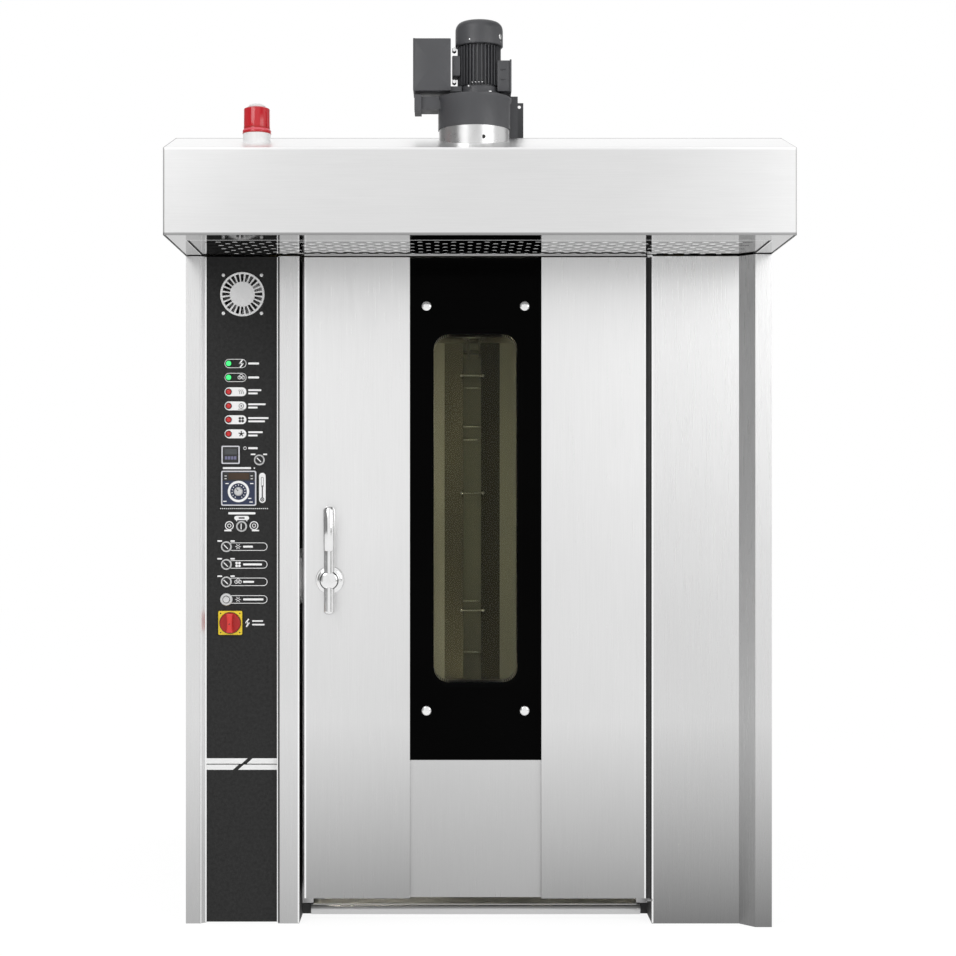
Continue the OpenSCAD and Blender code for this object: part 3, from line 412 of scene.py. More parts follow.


# ---- Materials ----

# Painted light and shade: the door, lower door, column and right column steels are lit and shaded copies of one brushed
# steel, darker towards the bottom and on the right, and the hood's slope is painted brighter than its front.
door_steel = brushed("door_steel", 0.80, 0.30, rough=0.32, painted_top_light=1.08)
lower_steel = brushed("lower_steel", 0.71, 0.38, rough=0.32)
column_steel = brushed("column_steel", 0.78, 0.47, rough=0.30)
right_steel = brushed("right_steel", 0.74, 0.21, rough=0.30, painted_top_light=1.18)
hood_steel = brushed("hood_steel", 0.99, 0.73, grain="x", rough=0.34, heights=(2.05, 2.07), painted_top_light=1.04)
sheet_steel = brushed("sheet_steel", 0.66, 0.60, rough=0.38, heights=(0, 2.1))
chamber_steel = brushed("chamber_steel", (0.50, 0.49, 0.45), (0.66, 0.66, 0.64), rough=0.4, heights=(0, 1.9))
louvre_steel = brushed("louvre_steel", (0.11, 0.105, 0.085), (0.16, 0.14, 0.105), rough=0.5, heights=(0, 1.9))
# A painted highlight: near-white steel for flat lines along rounded edges and bends.
edge_highlight_steel = brushed("edge_highlight_steel", 0.99, 0.90, rough=0.25)
# Painted shade: the hood's mirror-like underside steel has a dark base tone.
mirror_steel = polished("mirror_steel", 0.26, 0.03)
bright_steel = polished("bright_steel", 0.85, 0.12)
# A painted highlight: a bright copy of the tray's steel for the bridges between its slots and its edge lines.
bridge_highlight_steel = polished("bridge_highlight_steel", 0.92, 0.10)
dark_steel = polished("dark_steel", 0.10, 0.25)
satin_metal = polished("satin_metal", 0.62, 0.26)
chrome = polished("chrome", 0.84, 0.12)
blower_paint = coated("blower_paint", (0.050, 0.051, 0.055), (0.075, 0.076, 0.082), 0.42)
motor_paint = coated("motor_paint", (0.10, 0.13, 0.17), (0.14, 0.17, 0.21), 0.45)
frame_paint = coated("frame_paint", 0.06, 0.09, 0.6)
panel_black = speckled("panel_black", 0.003, 0.016, 0.7)
# Black rubber for the seals, the spacer and the dark seams, and black sheets of painted shade in the door's gaps, on
# the hinge barrel and under the hood.
rubber_and_painted_shade = coated("rubber_and_painted_shade", 0.012, 0.022, 0.7)
wool = coated("wool", (0.42, 0.36, 0.16), (0.55, 0.48, 0.25), 0.9, grain=300, depth=0.002)
black_plastic = coated("black_plastic", 0.012, 0.02, 0.35)
white_plastic = coated("white_plastic", 0.78, 0.86, 0.4)
navy_plastic = coated("navy_plastic", (0.010, 0.018, 0.055), (0.016, 0.026, 0.075), 0.35)
yellow_plastic = coated("yellow_plastic", (0.86, 0.62, 0.02), (0.93, 0.70, 0.03), 0.35)
red_plastic = coated("red_plastic", (0.72, 0.035, 0.03), (0.80, 0.05, 0.04), 0.32)
red_dark = coated("red_dark", (0.40, 0.006, 0.006), (0.48, 0.010, 0.010), 0.4)
# A painted highlight: bright pink for the glint at the beacon's rim.
red_rim_highlight = coated("red_rim_highlight", (0.70, 0.08, 0.11), (0.78, 0.12, 0.15), 0.12)
print_white = coated("print_white", 0.92, 0.98, 0.5, depth=0.00005)
pale_frame = coated("pale_frame", (0.66, 0.66, 0.70), (0.74, 0.74, 0.78), 0.35)
ring_metal = coated("ring_metal", 0.62, 0.74, 0.3, Metallic=0.35)
pearl = coated("pearl", 0.60, 0.72, 0.3, Metallic=0.3)
display_grey = coated("display_grey", (0.045, 0.05, 0.055), (0.075, 0.08, 0.085), 0.2)
display_amber = coated("display_amber", (0.030, 0.014, 0.004), (0.060, 0.026, 0.006), 0.2)
key_blue = coated("key_blue", (0.14, 0.15, 0.26), (0.20, 0.19, 0.30), 0.4)
black_glass = coated("black_glass", 0.0006, 0.001, 0.12, depth=0.00002, Specular_IOR_Level=0.02)
clear_glass = make_glass("clear_glass", (0.88, 0.88, 0.82), 0.02, 1.14)
red_lens = glowing("red_lens", (0.50, 0.014, 0.022), 0.10, 0.10)
green_lamp = glowing("green_lamp", (0.05, 0.75, 0.18), 0.8)
red_lamp = glowing("red_lamp", (0.55, 0.02, 0.02), 0.1)
lamp_light = glowing("lamp_light", (1.0, 0.94, 0.84), 64.0)


def add_painted_edge_light(material, axis, low, high, stops):
    """Painted shade and painted highlight lines across a sheet where its edge turns, set by one of its own coordinates.
    """
    tree = Tree(material, clear=False)
    base = principled(material).inputs["Base Color"]
    band = tree.ramp(tree.spread(tree.axis(axis), low, high, 0, 1), stops)
    tree.link(tree.multiply(base.links[0].from_socket, band), base)


# Painted light on the hood: a painted shade band with a painted highlight above it along the rounded hem at the foot,
# and painted shade lines at the top fold and at both side edges.
HOOD_FOOT, HOOD_TOP, HOOD_HALF = 1.834, 2.124, 0.802
HEM, FOLD = 0.016, 0.008
add_painted_edge_light(hood_steel, "Z", HOOD_FOOT, HOOD_FOOT + HEM, [(0, 0.36), (0.4, 0.50), (0.55, 1.0), (1, 0.985)])
add_painted_edge_light(hood_steel, "Z", HOOD_TOP - FOLD, HOOD_TOP, [(0, 1.0), (0.45, 1.0), (0.60, 0.45), (1, 0.40)])
add_painted_edge_light(hood_steel, "X", -HOOD_HALF, FOLD - HOOD_HALF, [(0, 0.42), (0.35, 0.48), (0.50, 1.0), (1, 1.0)])
add_painted_edge_light(hood_steel, "X", HOOD_HALF - FOLD, HOOD_HALF, [(0, 1.0), (0.6, 1.0), (0.75, 0.62), (1, 0.55)])

NODE_FINISH = (
    (sheet_steel, "floor_pan side_panels rear_panel roof_panel steam_unit turntable"),
    (chamber_steel, "chamber_shell chamber_liners"),
    (louvre_steel, "air_louvres rack_spindle"),
    (column_steel, "control_column door_jamb"),
    (right_steel, "right_column"),
    (hood_steel, "hood_shell"),
    (mirror_steel, "hood_filter"),
    (door_steel, "door_shell door_wings"),
    (lower_steel, "door_lower_panel"),
    (bright_steel, "glass_caps handle_boss handle_lever temp_dial alarm_button"),
    (satin_metal, "spindle_bearing blower_collar selector_bezels latch_keeper latch_bolt circulation_impeller"),
    (satin_metal, "timer_knob fan_knob light_knob mode_knob steam_knob"),
    (blower_paint, "blower_housing blower_motor motor_cowl motor_boxes outlet_ducts blower_impeller"),
    (motor_paint, "circulation_motor rotation_gearmotor"),
    (frame_paint, "base_frame heater_bank"),
    (panel_black, "control_panel"),
    (rubber_and_painted_shade, "door_seal"),
    (wool, "insulation"),
    (black_plastic, "timer_module cooling_fan_rotor"),
    (white_plastic, "beacon_base vent_grille"),
    (navy_plastic, "temperature_controller"),
    (yellow_plastic, "power_switch_plate"),
    (red_plastic, "power_handle"),
    (black_glass, "outer_glass"),
    (clear_glass, "inner_glass"),
    (red_lens, "beacon_lens"),
    (green_lamp, "status_lamps"),
    (red_lamp, "fault_lamps"),
    (lamp_light, "chamber_lamps"),
)
for material, names in NODE_FINISH:
    for name in names.split():
        nodes[name].data.materials.clear()
        nodes[name].data.materials.append(material)

SMOOTH_UP_TO = 35


def mesh_object(name, parts, material, node=None, body="oven", sharp=SMOOTH_UP_TO):
    """An object from parts of points and faces, shaded smooth up to the angle sharp, or flat where there is none.
    It rides on a body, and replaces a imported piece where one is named."""
    points, faces = join(parts)
    mesh = bpy.data.meshes.new(name)
    mesh.from_pydata(points.tolist(), [], faces)
    mesh.validate()
    mesh.materials.append(material)
    piece = bpy.data.objects.new(name, mesh)
    bpy.context.scene.collection.objects.link(piece)
    if sharp:
        mesh.shade_smooth()
        mesh.set_sharp_from_angle(angle=math.radians(sharp))
    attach(piece, body)
    if node:
        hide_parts(node)


def dress(node, body="oven", **pieces):
    """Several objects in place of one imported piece, each given as its parts and its material."""
    for name, (parts, material) in pieces.items():
        mesh_object(name, parts, material, node, body)


def box(name):
    """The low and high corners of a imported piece, as arrays."""
    return [np.array(corner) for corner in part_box(name)]


# ---- Door glass ----

PANE_MARGIN = 0.024
WINDOW_R = 0.041
PANE_T = 0.002
SPACER_W = 0.002


def outer_glass():
    """The pane as two pieces: a black border with a round-cornered window, and the clear pane in it."""
    low, high = box("outer_glass")
    inner_low, inner_high = box("inner_glass")
    width, _, height = inner_high - inner_low - 2 * PANE_MARGIN
    x = (low[0] + high[0]) / 2
    z = (inner_low[2] + inner_high[2]) / 2
    corners = rounded_outline(high[0] - low[0], high[2] - low[2], 0.0015, 12, (x, (low[2] + high[2]) / 2))
    window = rounded_outline(width, height, WINDOW_R, 12, (x, z))
    mesh_object("glass_border", [ring_plate(corners, window, (low[1], high[1]))], black_glass, "outer_glass", "door")
    half = np.array([width / 2, PANE_T, height / 2])
    middle = np.array([x, low[1] + 0.003, z])
    pane = slab(middle - half, middle + half, "y", WINDOW_R, 0.0004, 3)
    mesh_object("glass_window", [pane], clear_glass, "outer_glass", "door")
    outside = rounded_outline(width + 2 * SPACER_W, height + 2 * SPACER_W, WINDOW_R + SPACER_W, 12, (x, z))
    spacer = ring_plate(outside, window, (high[1] + 0.0002, inner_low[1] - 0.0005))
    mesh_object("window_spacer", [spacer], rubber_and_painted_shade, body="door")


outer_glass()


# ---- Control panel: prints, lamps, selectors, timer, controller and main switch ----

PANEL = -0.526
PRINT_T = 0.0004
PRINT_FRONT = PANEL - PRINT_T
ICON_LINE = 0.0014
LABEL_H = 0.0055
SMALL_LABEL_H = 0.0042

# Places on the panel, as x, z or (x, z), and a selector's turn in degrees after them.
PILL_X = (-0.697, -0.637)
PILL_H = 0.0245
ICON_X = -0.651
LAMP_X = -0.686
LABEL_X = -0.632
GREEN_Z = (1.541, 1.5025)
RED_Z = (1.463, 1.424, 1.386, 1.347)
ROW_X = (-0.688, -0.579)
ROW_H = 0.0225
ROW_ICON_X = -0.660
ROW_LABEL_X = -0.646
SELECTORS = {"timer_knob": (-0.601, 1.275, -45), "fan_knob": (-0.650, 1.092, 0),
             "light_knob": (-0.692, 1.036, -45), "mode_knob": (-0.692, 0.987, -45),
             "steam_knob": (-0.692, 0.939, -45)}
ALARM = (-0.692, 0.8905)
SWITCH = (-0.681, 0.826)
TIMER = (-0.680, 1.289)
CONTROLLER = (-0.6575, 1.197)
DIAL = (-0.658, 1.188)
DIAL_TURN = -30
VENT = (-0.648, 1.732)
STRIPES = ((0.4375, 0.4524, 0.012), (0.4208, 0.435, -0.012))
STRIPE_X = -0.652


def plate(outline, front=PANEL, thick=PRINT_T):
    """A thin plate over an outline of (x, z) points that goes counter-clockwise seen from the front."""
    outline = np.asarray(outline, float)
    return loft(upright_rings((outline, outline), (front, front - thick)))


def pill(x, z, height, radius=None):
    """A plate with round ends from x[0] to x[1]."""
    return plate(rounded_outline(x[1] - x[0], height, radius or height / 2, 6, ((x[0] + x[1]) / 2, z)))


def outline_plate(at, size, radius, line, front=PANEL, thick=PRINT_T, steps=5):
    """A line round a rectangle with round corners."""
    outer = rounded_outline(*size, radius, steps, at)
    inner = rounded_outline(size[0] - 2 * line, size[1] - 2 * line, radius - line, steps, at)
    return ring_plate(outer, inner, (front - thick, front))


def pill_outline(x, z, height, line=0.0016):
    """A thin line round a plate with round ends."""
    return outline_plate(((x[0] + x[1]) / 2, z), (x[1] - x[0], height), height / 2, line, steps=8)


def label(x, z, width, height=SMALL_LABEL_H):
    """A plain bar where a word stands on the real panel."""
    return pill((x, x + width), z, height, height / 3)


def disc(at, radius, front=PANEL, thick=PRINT_T, turns=28):
    """A round plate."""
    return plate(circle(turns) * radius + at, front, thick)


def circle_line(at, radius, line, front=PANEL, thick=PRINT_T, turns=40):
    """A thin ring."""
    return ring_plate(circle(turns) * radius + at, circle(turns) * (radius - line) + at, (front - thick, front))


def stroke(a, b, width, front=PANEL, thick=PRINT_T):
    """A straight line of some width between two (x, z) points."""
    a, b = np.asarray(a, float), np.asarray(b, float)
    along = (b - a) / np.linalg.norm(b - a)
    side = np.array([-along[1], along[0]]) * width / 2
    return plate([a - side, b - side, b + side, a + side], front, thick)


def dash(at, half, width, front=PANEL, thick=PRINT_T):
    """A level line through a point."""
    return stroke((at[0] - half, at[1]), (at[0] + half, at[1]), width, front, thick)


def ways(degrees):
    """Directions (cosine, sine) at some angles."""
    return [np.array([math.cos(a), math.sin(a)]) for a in np.radians(degrees)]


def icon_heat(at, front, height=0.012, swing=0.0015, line=0.0012):
    """Three upright wavy lines, for warmth."""
    s = np.linspace(0, 1, 6)
    waves = [np.stack([at[0] + dx + swing * np.sin(s * 2 * np.pi), at[1] + height * (s - 0.5)], -1)
             for dx in (-0.005, 0, 0.005)]
    return [stroke(a, b, line, front) for wave in waves for a, b in zip(wave, wave[1:])]


def icon_table(at, front):
    """A ring with a dot, over a level line."""
    return [circle_line(at, 0.007, ICON_LINE, front), disc(at, 0.0022, front),
            dash((at[0], at[1] - 0.009), 0.009, ICON_LINE, front)]


def icon_fan(at, front):
    """Four round blades."""
    return [disc(at + 0.0055 * way, 0.0036, front) for way in ways([45, 135, 225, 315])]


def icon_exhaust(at, front):
    """Five straight blades on a hub."""
    return [stroke(at, at + 0.008 * way, 0.0026, front) for way in ways([18, 90, 162, 234, 306])] + [
        disc(at, 0.003, front)]


def icon_bolt(at, front):
    """A jagged bolt."""
    strokes = (((0.0035, 0.011), (-0.005, -0.001), 0.0038), ((-0.0045, 0), (0.0045, 0.0005), 0.003),
               ((0.005, 0.001), (-0.0035, -0.011), 0.0038))
    return [stroke(np.add(at, a), np.add(at, b), width, front) for a, b, width in strokes]


def icon_cloud(at, front):
    """Three rings that overlap."""
    return [circle_line(np.add(at, shift), radius, ICON_LINE, front)
            for shift, radius in (((-0.005, 0), 0.005), ((0.005, 0), 0.005), ((0, 0.003), 0.006))]


def icon_sun(at, front):
    """A ring with six rays."""
    return [stroke(at + 0.005 * way, at + 0.008 * way, ICON_LINE, front) for way in ways(range(0, 360, 60))] + [
        circle_line(at, 0.0042, ICON_LINE, front)]


def lamp_prints():
    """Prints beside the lamps: outline pills at the green ones, white pills with dark icons at the red ones."""
    white, dark = [], []
    for z, icon in zip(GREEN_Z, (icon_bolt, icon_cloud)):
        white += [pill_outline(PILL_X, z, PILL_H, 0.0013), *icon((ICON_X, z), PANEL), label(LABEL_X, z, 0.030, LABEL_H)]
    for z, icon, widths in zip(RED_Z, (icon_heat, icon_table, icon_fan, icon_exhaust),
                               ((0.036, 0.026), (0.048, 0.026), (0.056, 0.046), (0.040, 0.026))):
        white.append(pill(PILL_X, z, PILL_H))
        dark += icon((ICON_X, z), PRINT_FRONT)
        white += [label(LABEL_X, z + dz, width, 0.005) for width, dz in zip(widths, (0.0045, -0.0045))]
    return white, dark


def timer_and_fan_prints():
    """Prints round the timer, the controller and the three-way selector, with a row of dots between them."""
    fan_x = SELECTORS["fan_knob"][0]
    white = [circle_line((-0.641, 1.3075), 0.0045, 0.0012), label(-0.632, 1.3075, 0.026, LABEL_H),
             label(-0.625, 1.2905, 0.013), label(-0.591, 1.2905, 0.011),
             label(-0.702, 1.2525, 0.078, LABEL_H), disc((-0.615, 1.2525), 0.002)]
    white += [disc((x, 1.141), 0.0016, turns=10) for x in np.linspace(-0.708, -0.579, 25)]
    white += [label(-0.687, 1.128, 0.075, 0.006), pill((-0.6705, -0.6295), 1.115, 0.0115)]
    dark = [dash((fan_x, 1.115), 0.008, 0.004, PRINT_FRONT)]
    for s in (-1, 1):
        at = (fan_x + s * 0.034, 1.094)
        white += [circle_line(at, 0.012, 0.0024), circle_line(at, 0.0055, 0.0018),
                  label(fan_x + s * 0.038 - 0.010, 1.0805, 0.020), disc((fan_x + s * 0.014, 1.1075), 0.0016)]
    return white, dark


def row_prints():
    """Prints beside the selectors in a row, the alarm button and the main switch."""
    white = []
    rows = [(SELECTORS[name][1], icon, width) for name, icon, width in
            (("light_knob", icon_sun, 0.027), ("mode_knob", icon_fan, 0.052), ("steam_knob", icon_cloud, 0.030))]
    for z, icon, width in rows + [(ALARM[1], icon_sun, 0.056)]:
        white += [pill_outline(ROW_X, z, ROW_H), *icon((ROW_ICON_X, z), PANEL), label(ROW_LABEL_X, z, width, LABEL_H)]
    for z, _, _ in rows:
        white += [label(-0.717, z + 0.0155, 0.013), label(-0.681, z + 0.0155, 0.012)]
    z = SWITCH[1]
    return white + icon_bolt((-0.634, z), PANEL) + [label(-0.621, z + 0.005, 0.030), label(-0.621, z - 0.005, 0.034)]


def thermometer_prints(x=-0.593):
    """A white pill beside the controller, with a dark thermometer in it."""
    white = [pill((x - 0.009, x + 0.009), 1.198, 0.083, 0.009)]
    dark = [circle_line((x, 1.166), 0.0056, 0.0024, PRINT_FRONT), disc((x, 1.166), 0.0018, PRINT_FRONT),
            stroke((x, 1.171), (x, 1.205), 0.0030, PRINT_FRONT),
            outline_plate((x, 1.214), (0.007, 0.028), 0.0034, 0.001, PRINT_FRONT)]
    return white, dark


def stripe_prints():
    """Two stripes across the panel, each parted by a slanted gap."""
    low, high = box("control_panel")
    left, right = low[0] + 0.0005, high[0] - 0.0005
    stripes = []
    for bottom, top, shift in STRIPES:
        x = STRIPE_X + shift
        stripes += [plate([(left, bottom), (x - 0.010, bottom), (x + 0.006, top), (left, top)]),
                    plate([(x + 0.004, bottom), (right, bottom), (right, top), (x + 0.020, top)])]
    return stripes


def panel_print():
    """All the white prints of the panel, and the dark icons on them."""
    white, dark = (a + b + c for a, b, c in zip(lamp_prints(), timer_and_fan_prints(), thermometer_prints()))
    mesh_object("panel_print", white + row_prints() + stripe_prints(), print_white, sharp=None)
    mesh_object("panel_icons", dark, black_plastic, sharp=None)


def on_panel(at, y=0.0):
    """A point of the panel as (x, y, z)."""
    return np.array([at[0], PANEL + y, at[1]])


def key(at, half, depth, corner, edge, steps=4):
    """A block centred at (x, z) with its half sizes, from depth[0] to depth[1] in front of the panel."""
    half = np.array([half[0], 0, half[1]])
    return slab(on_panel(at, -depth[0]) - half, on_panel(at, -depth[1]) + half, "y", corner, edge, steps)


def lamp_lens(name, places, material):
    """Domed lenses, a quarter ellipse turned round, each in a thin dark ring."""
    dome = arc((0, 0), (0.0076, -0.0048), 8) + [(0.0076, 0.0002)]
    rim = [(0.0076, 0.0), (0.0076, -0.0028), (0.0080, -0.0030), (0.0089, -0.0018), (0.0089, 0.0)]
    mesh_object(name + "_domes", [lathe(dome, on_panel((LAMP_X, z)), "y", 28) for z in places], material, name)
    mesh_object(name + "_rims", [lathe_ring(rim, on_panel((LAMP_X, z)), "y", 28) for z in places], black_plastic, name)


def selectors():
    """Raised pale rings with a black cap and a pale pointer in each."""
    ring = [(0.0105, 0.0), (0.0105, -0.0035), (0.0115, -0.0050), (0.0138, -0.0050), (0.0150, -0.0036), (0.0150, 0.0)]
    button = [(0.0100, 0.0), (0.0100, -0.0040), (0.0112, -0.0050), (0.0155, -0.0050), (0.0170, -0.0034), (0.0170, 0.0)]
    rings = [lathe_ring(ring, on_panel(at)) for at in SELECTORS.values()] + [lathe_ring(button, on_panel(ALARM))]
    mesh_object("bezel_rings", rings, ring_metal, "selector_bezels")
    for name, (x, z, turn) in SELECTORS.items():
        centre = on_panel((x, z))
        cap = lathe([(0.0005, -0.0062), (0.0088, -0.0062), (0.0100, -0.0052), (0.0100, 0.0)], centre, "y", 32)
        grip = key((x, z), (0.0030, 0.0094), (0.0140, 0.0055), 0.0025, 0.0009)
        mark = key((x, z), (0.0013, 0.0082), (0.0144, 0.0138), 0.0006, 0.0001, 2)
        body = nodes[name]["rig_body"]
        mesh_object(name + "_cap", [cap, turned(grip, turn, centre)], black_plastic, name, body)
        mesh_object(name + "_pointer", [turned(mark, turn, centre)], print_white, name, body)


def alarm_button():
    """The sprung button: a shallow dished cap."""
    profile = [(POLE, -0.0082), (0.0040, -0.0085), (0.0078, -0.0095), (0.0086, -0.0090), (0.0086, 0.0110)]
    mesh_object("alarm_cap", [lathe(profile, on_panel(ALARM), "y", 32)], pearl, "alarm_button", "alarm")


def timer_face():
    """Timer: pale frame, dark display and a row of keys."""
    x, z = TIMER
    frame_ring = ring_plate(rounded_outline(0.050, 0.050, 0.0035, centre=TIMER),
                            rounded_outline(0.0435, 0.0435, 0.0020, centre=TIMER), (PANEL - 0.0060, PANEL))
    keys = [key((x + dx, z - 0.0085), (0.0034, 0.0045), (0.0050, 0.0035), 0.0012, 0.0004)
            for dx in (-0.0125, -0.0042, 0.0042, 0.0125)]
    case = key(TIMER, (0.0219, 0.0219), (0.0035, 0), 0.002, 0.0003)
    display = key((x, z + 0.0085), (0.0170, 0.0075), (0.0044, 0.0035), 0.001, 0.0002)
    dress("timer_module", timer_frame=([frame_ring], pale_frame), timer_case=([case], black_plastic),
          timer_display=([display], display_grey), timer_keys=(keys, key_blue))


def controller_face():
    """Temperature controller: pale frame, navy face, dark amber display, white scale ring with ticks."""
    x, z = CONTROLLER
    face = PANEL - 0.0060
    frame_ring = ring_plate(rounded_outline(0.0965, 0.0965, 0.005, centre=CONTROLLER),
                            rounded_outline(0.0900, 0.0900, 0.003, centre=CONTROLLER), (PANEL - 0.0080, PANEL))
    body = key(CONTROLLER, (0.0452, 0.0452), (0.0060, 0), 0.003, 0.0003)
    band = key((x, z + 0.03225), (0.0440, 0.01175), (0.0066, 0.0060), 0.001, 0.0002)
    display = key((x + 0.00025, z + 0.0330), (0.02875, 0.0090), (0.0070, 0.0066), 0.001, 0.0001)
    marks = [circle_line(DIAL, 0.0295, 0.0065, face, 0.0012, 56)]
    for way in ways(90 - np.arange(-150, 151, 25)):
        marks.append(stroke(DIAL + way * 0.0165, DIAL + way * 0.0195, 0.0022, face, 0.0006))
    marks += [dash((x + dx, z + dz), 0.003, 0.0018, face - 0.0006, 0.0003)
              for dx, dz in ((-0.036, 0.034), (-0.036, 0.026), (0.036, 0.034), (0.036, 0.026))]
    marks += [dash((x + dx, z + dz), 0.0045, 0.0026, face, 0.0004)
              for dx, dz in ((-0.032, 0.013), (0.036, 0.013), (-0.038, -0.036), (0.034, -0.038), (0.030, -0.028))]
    dress("temperature_controller", controller_frame=([frame_ring], pale_frame), controller_body=([body], navy_plastic),
          controller_band=([band], black_plastic), controller_display=([display], display_amber),
          controller_marks=(marks, print_white))


def dial():
    """The controller's dial: a flared hub, its flank a parabola, with a dark mark."""
    hub = [(POLE, -0.0185), (0.0085, -0.0185)]
    hub += [(0.0085 + 0.0035 * t, -0.0185 + 0.004 * t * t) for t in np.linspace(0, 1, 5)[1:]]
    cap = lathe(hub + [(0.0125, -0.0086), (0.0118, -0.0082)], on_panel(DIAL), "y", 40)
    line = key((DIAL[0], DIAL[1] + 0.0054), (0.0010, 0.0044), (0.0192, 0.0184), 0.0004, 0.0001, 2)
    dress("temp_dial", "temperature_knob", dial_cap=([cap], pearl),
          dial_mark=([turned(line, DIAL_TURN, on_panel(DIAL))], display_grey))


def switch_bar():
    """The main switch's handle bar: a six-cornered section, its sides drawn in by a sine and its front by a cube."""
    x, z = SWITCH
    root = PANEL - 0.0130
    rings = []
    for t in np.linspace(0, 1, 9):
        half = 0.0085 - 0.0022 * math.sin(math.pi * t)
        top = PANEL - 0.0285 + 0.003 * abs(2 * t - 1) ** 3
        side = [(half + 0.0015, root), (half, top + 0.002), (half - 0.002, top)]
        rings.append([(x + s * w, y, z - 0.0255 + 0.051 * t) for s, half_side in ((-1, side), (1, side[::-1]))
                      for w, y in half_side])
    return loft(rings)


def main_switch():
    """Main switch: yellow plate with round corners, red disc in front of a dark ring, and a waisted handle bar."""
    x, z = SWITCH
    front = PANEL - 0.0060
    base = key(SWITCH, (0.033, 0.033), (0.0060, 0), 0.0035, 0.0012)
    marks = [circle_line(SWITCH, 0.0300, 0.0014, front, 0.0005, 56)]
    marks += [disc((x + sx * 0.0265, z + sz * 0.0265), 0.0018, front, 0.0005, 16) for sz in (1, -1) for sx in (-1, 1)]
    dress("power_switch_plate", switch_plate=([base], yellow_plastic), switch_marks=(marks, black_plastic))
    disc_line = [(POLE, -0.0136), (0.0258, -0.0136), (0.0280, -0.0120), (0.0284, -0.0068)]
    pin = [disc((x, z - 0.002), 0.0018, PANEL - 0.0284, turns=16),
           dash((x, z + 0.0245), 0.002, 0.0030, PANEL - 0.0136)]
    dress("power_handle", "main_switch", switch_disc=([lathe(disc_line, on_panel(SWITCH), "y", 56)], red_dark),
          switch_handle=([switch_bar()], red_plastic), switch_pin=(pin, black_plastic))


def vent_face():
    """Vent: a white ring with radial slots round a plain hub, four pan-head screws, and a dark pocket behind it."""
    count, open_angle, inner, outer, screw = 24, 10, 0.0345, 0.0555, 0.0525
    centre = on_panel(VENT)
    hub = lathe([(POLE, -0.0040), (inner - 0.001, -0.0040), (inner, -0.0032), (inner, 0.0)], centre, "y", 72)
    rim = lathe_ring([(outer, 0.0), (outer, -0.0034), (outer + 0.001, -0.0040), (0.0600, -0.0040), (0.0610, -0.0030),
                      (0.0610, 0.0)], centre, "y", 72)
    narrow, wide = (math.radians(360 / count - open_angle) / 2 * r for r in (inner, outer))
    corners = [(inner - 0.001, -narrow), (outer + 0.001, -wide), (outer + 0.001, wide), (inner - 0.001, narrow)]
    spoke = plate(np.add(VENT, corners), PANEL, 0.0036)
    spokes = [turned(spoke, (i + 0.5) * 360 / count, centre) for i in range(count)]
    head = [(POLE, -0.0026), (0.0024, -0.0024), (0.0042, -0.0014), (0.0048, 0.0)]
    heads = [lathe(head, on_panel(np.add(VENT, (dx, dz))), "y", 20) for dx in (-screw, screw) for dz in (-screw, screw)]
    pocket = ring_plate(rounded_outline(0.119, 0.119, 0.006, 12, VENT), circle(52) * 0.057 + VENT,
                        (PANEL + 0.003, PANEL + 0.028))
    dress("vent_grille", vent_ring=([hub, rim] + spokes, print_white), vent_screws=(heads, print_white),
          vent_frame=([pocket], black_plastic))


panel_print()
lamp_lens("status_lamps", GREEN_Z, green_lamp)
lamp_lens("fault_lamps", RED_Z, red_lamp)
selectors()
alarm_button()
timer_face()
controller_face()
dial()
main_switch()
vent_face()


# ---- Handle, caps, latch plate ----

HANDLE = np.array([-0.405, -0.584, 0.945])
GRIP_TOP = 0.203
NECK_R = 0.0146


def handle_parts():
    """Handle: a plain grip, a slimmer neck, a domed hub cap and a short tail with a rounded end."""
    grip = arc((POLE, GRIP_TOP - 0.006), (0.0128, 0.006), 7)
    grip += [(0.0160, 0.192), (0.0160, 0.083), (0.0145, 0.0805)]
    neck = [(NECK_R, 0.0803), (NECK_R, 0.020)]
    tail = [(NECK_R, -0.020), (NECK_R, -0.084)] + arc((POLE, -0.085), (0.0144, -0.009), 7)[::-1]
    dome = [(POLE, -0.0140), (0.0120, -0.0136), (0.0210, -0.0124), (0.0245, -0.0104), (0.0260, -0.0080),
            (0.0264, -0.0040), (0.0268, 0.0060), (0.0268, 0.0190)]
    groove = [(0.0234, 0.0), (0.0258, 0.0), (0.0258, -0.0094), (0.0234, -0.0116)]
    shaft = [(0.0136, 0.0190), (0.0136, 0.0670), (0.0196, 0.0672), (0.0196, 0.0800), (POLE, 0.0802)]
    bar = [lathe(line, HANDLE, "z", 40) for line in (grip, neck, tail)] + [lathe(dome, HANDLE, "y", 56)]
    dress("handle_lever", "handle", handle_bar=(bar, chrome),
          handle_cap_groove=([lathe_ring(groove, HANDLE, "y", 48)], dark_steel),
          handle_shaft=([lathe(shaft, HANDLE, "y", 32)], satin_metal))
    rose = [(0.0146, -0.0236), (0.0300, -0.0238), (0.0328, -0.0220), (0.0330, -0.0165), (0.0350, -0.0158),
            (0.0375, -0.0158), (0.0388, -0.0144), (0.0389, -0.0030), (0.0389, -0.0002)]
    rose = lathe_ring(rose, (HANDLE[0], FRONT, HANDLE[2]), "y", 64)
    dress("handle_boss", "door", handle_rose=([rose], chrome))


def cap_heads():
    """Domed caps that hold the outer glass, each a shallow part of an ellipse on a short rim."""
    low, high = box("glass_caps")
    inset = 0.013
    profile = arc((POLE, -0.0020), (0.0120, -0.0029), 7) + [(0.0129, -0.0016), (0.0129, 0.0)]
    heads = [lathe(profile, (x, high[1], z), "y", 40) for x in (low[0] + inset, high[0] - inset)
             for z in (low[2] + inset, high[2] - inset)]
    mesh_object("cap_heads", heads, chrome, "glass_caps", "door")


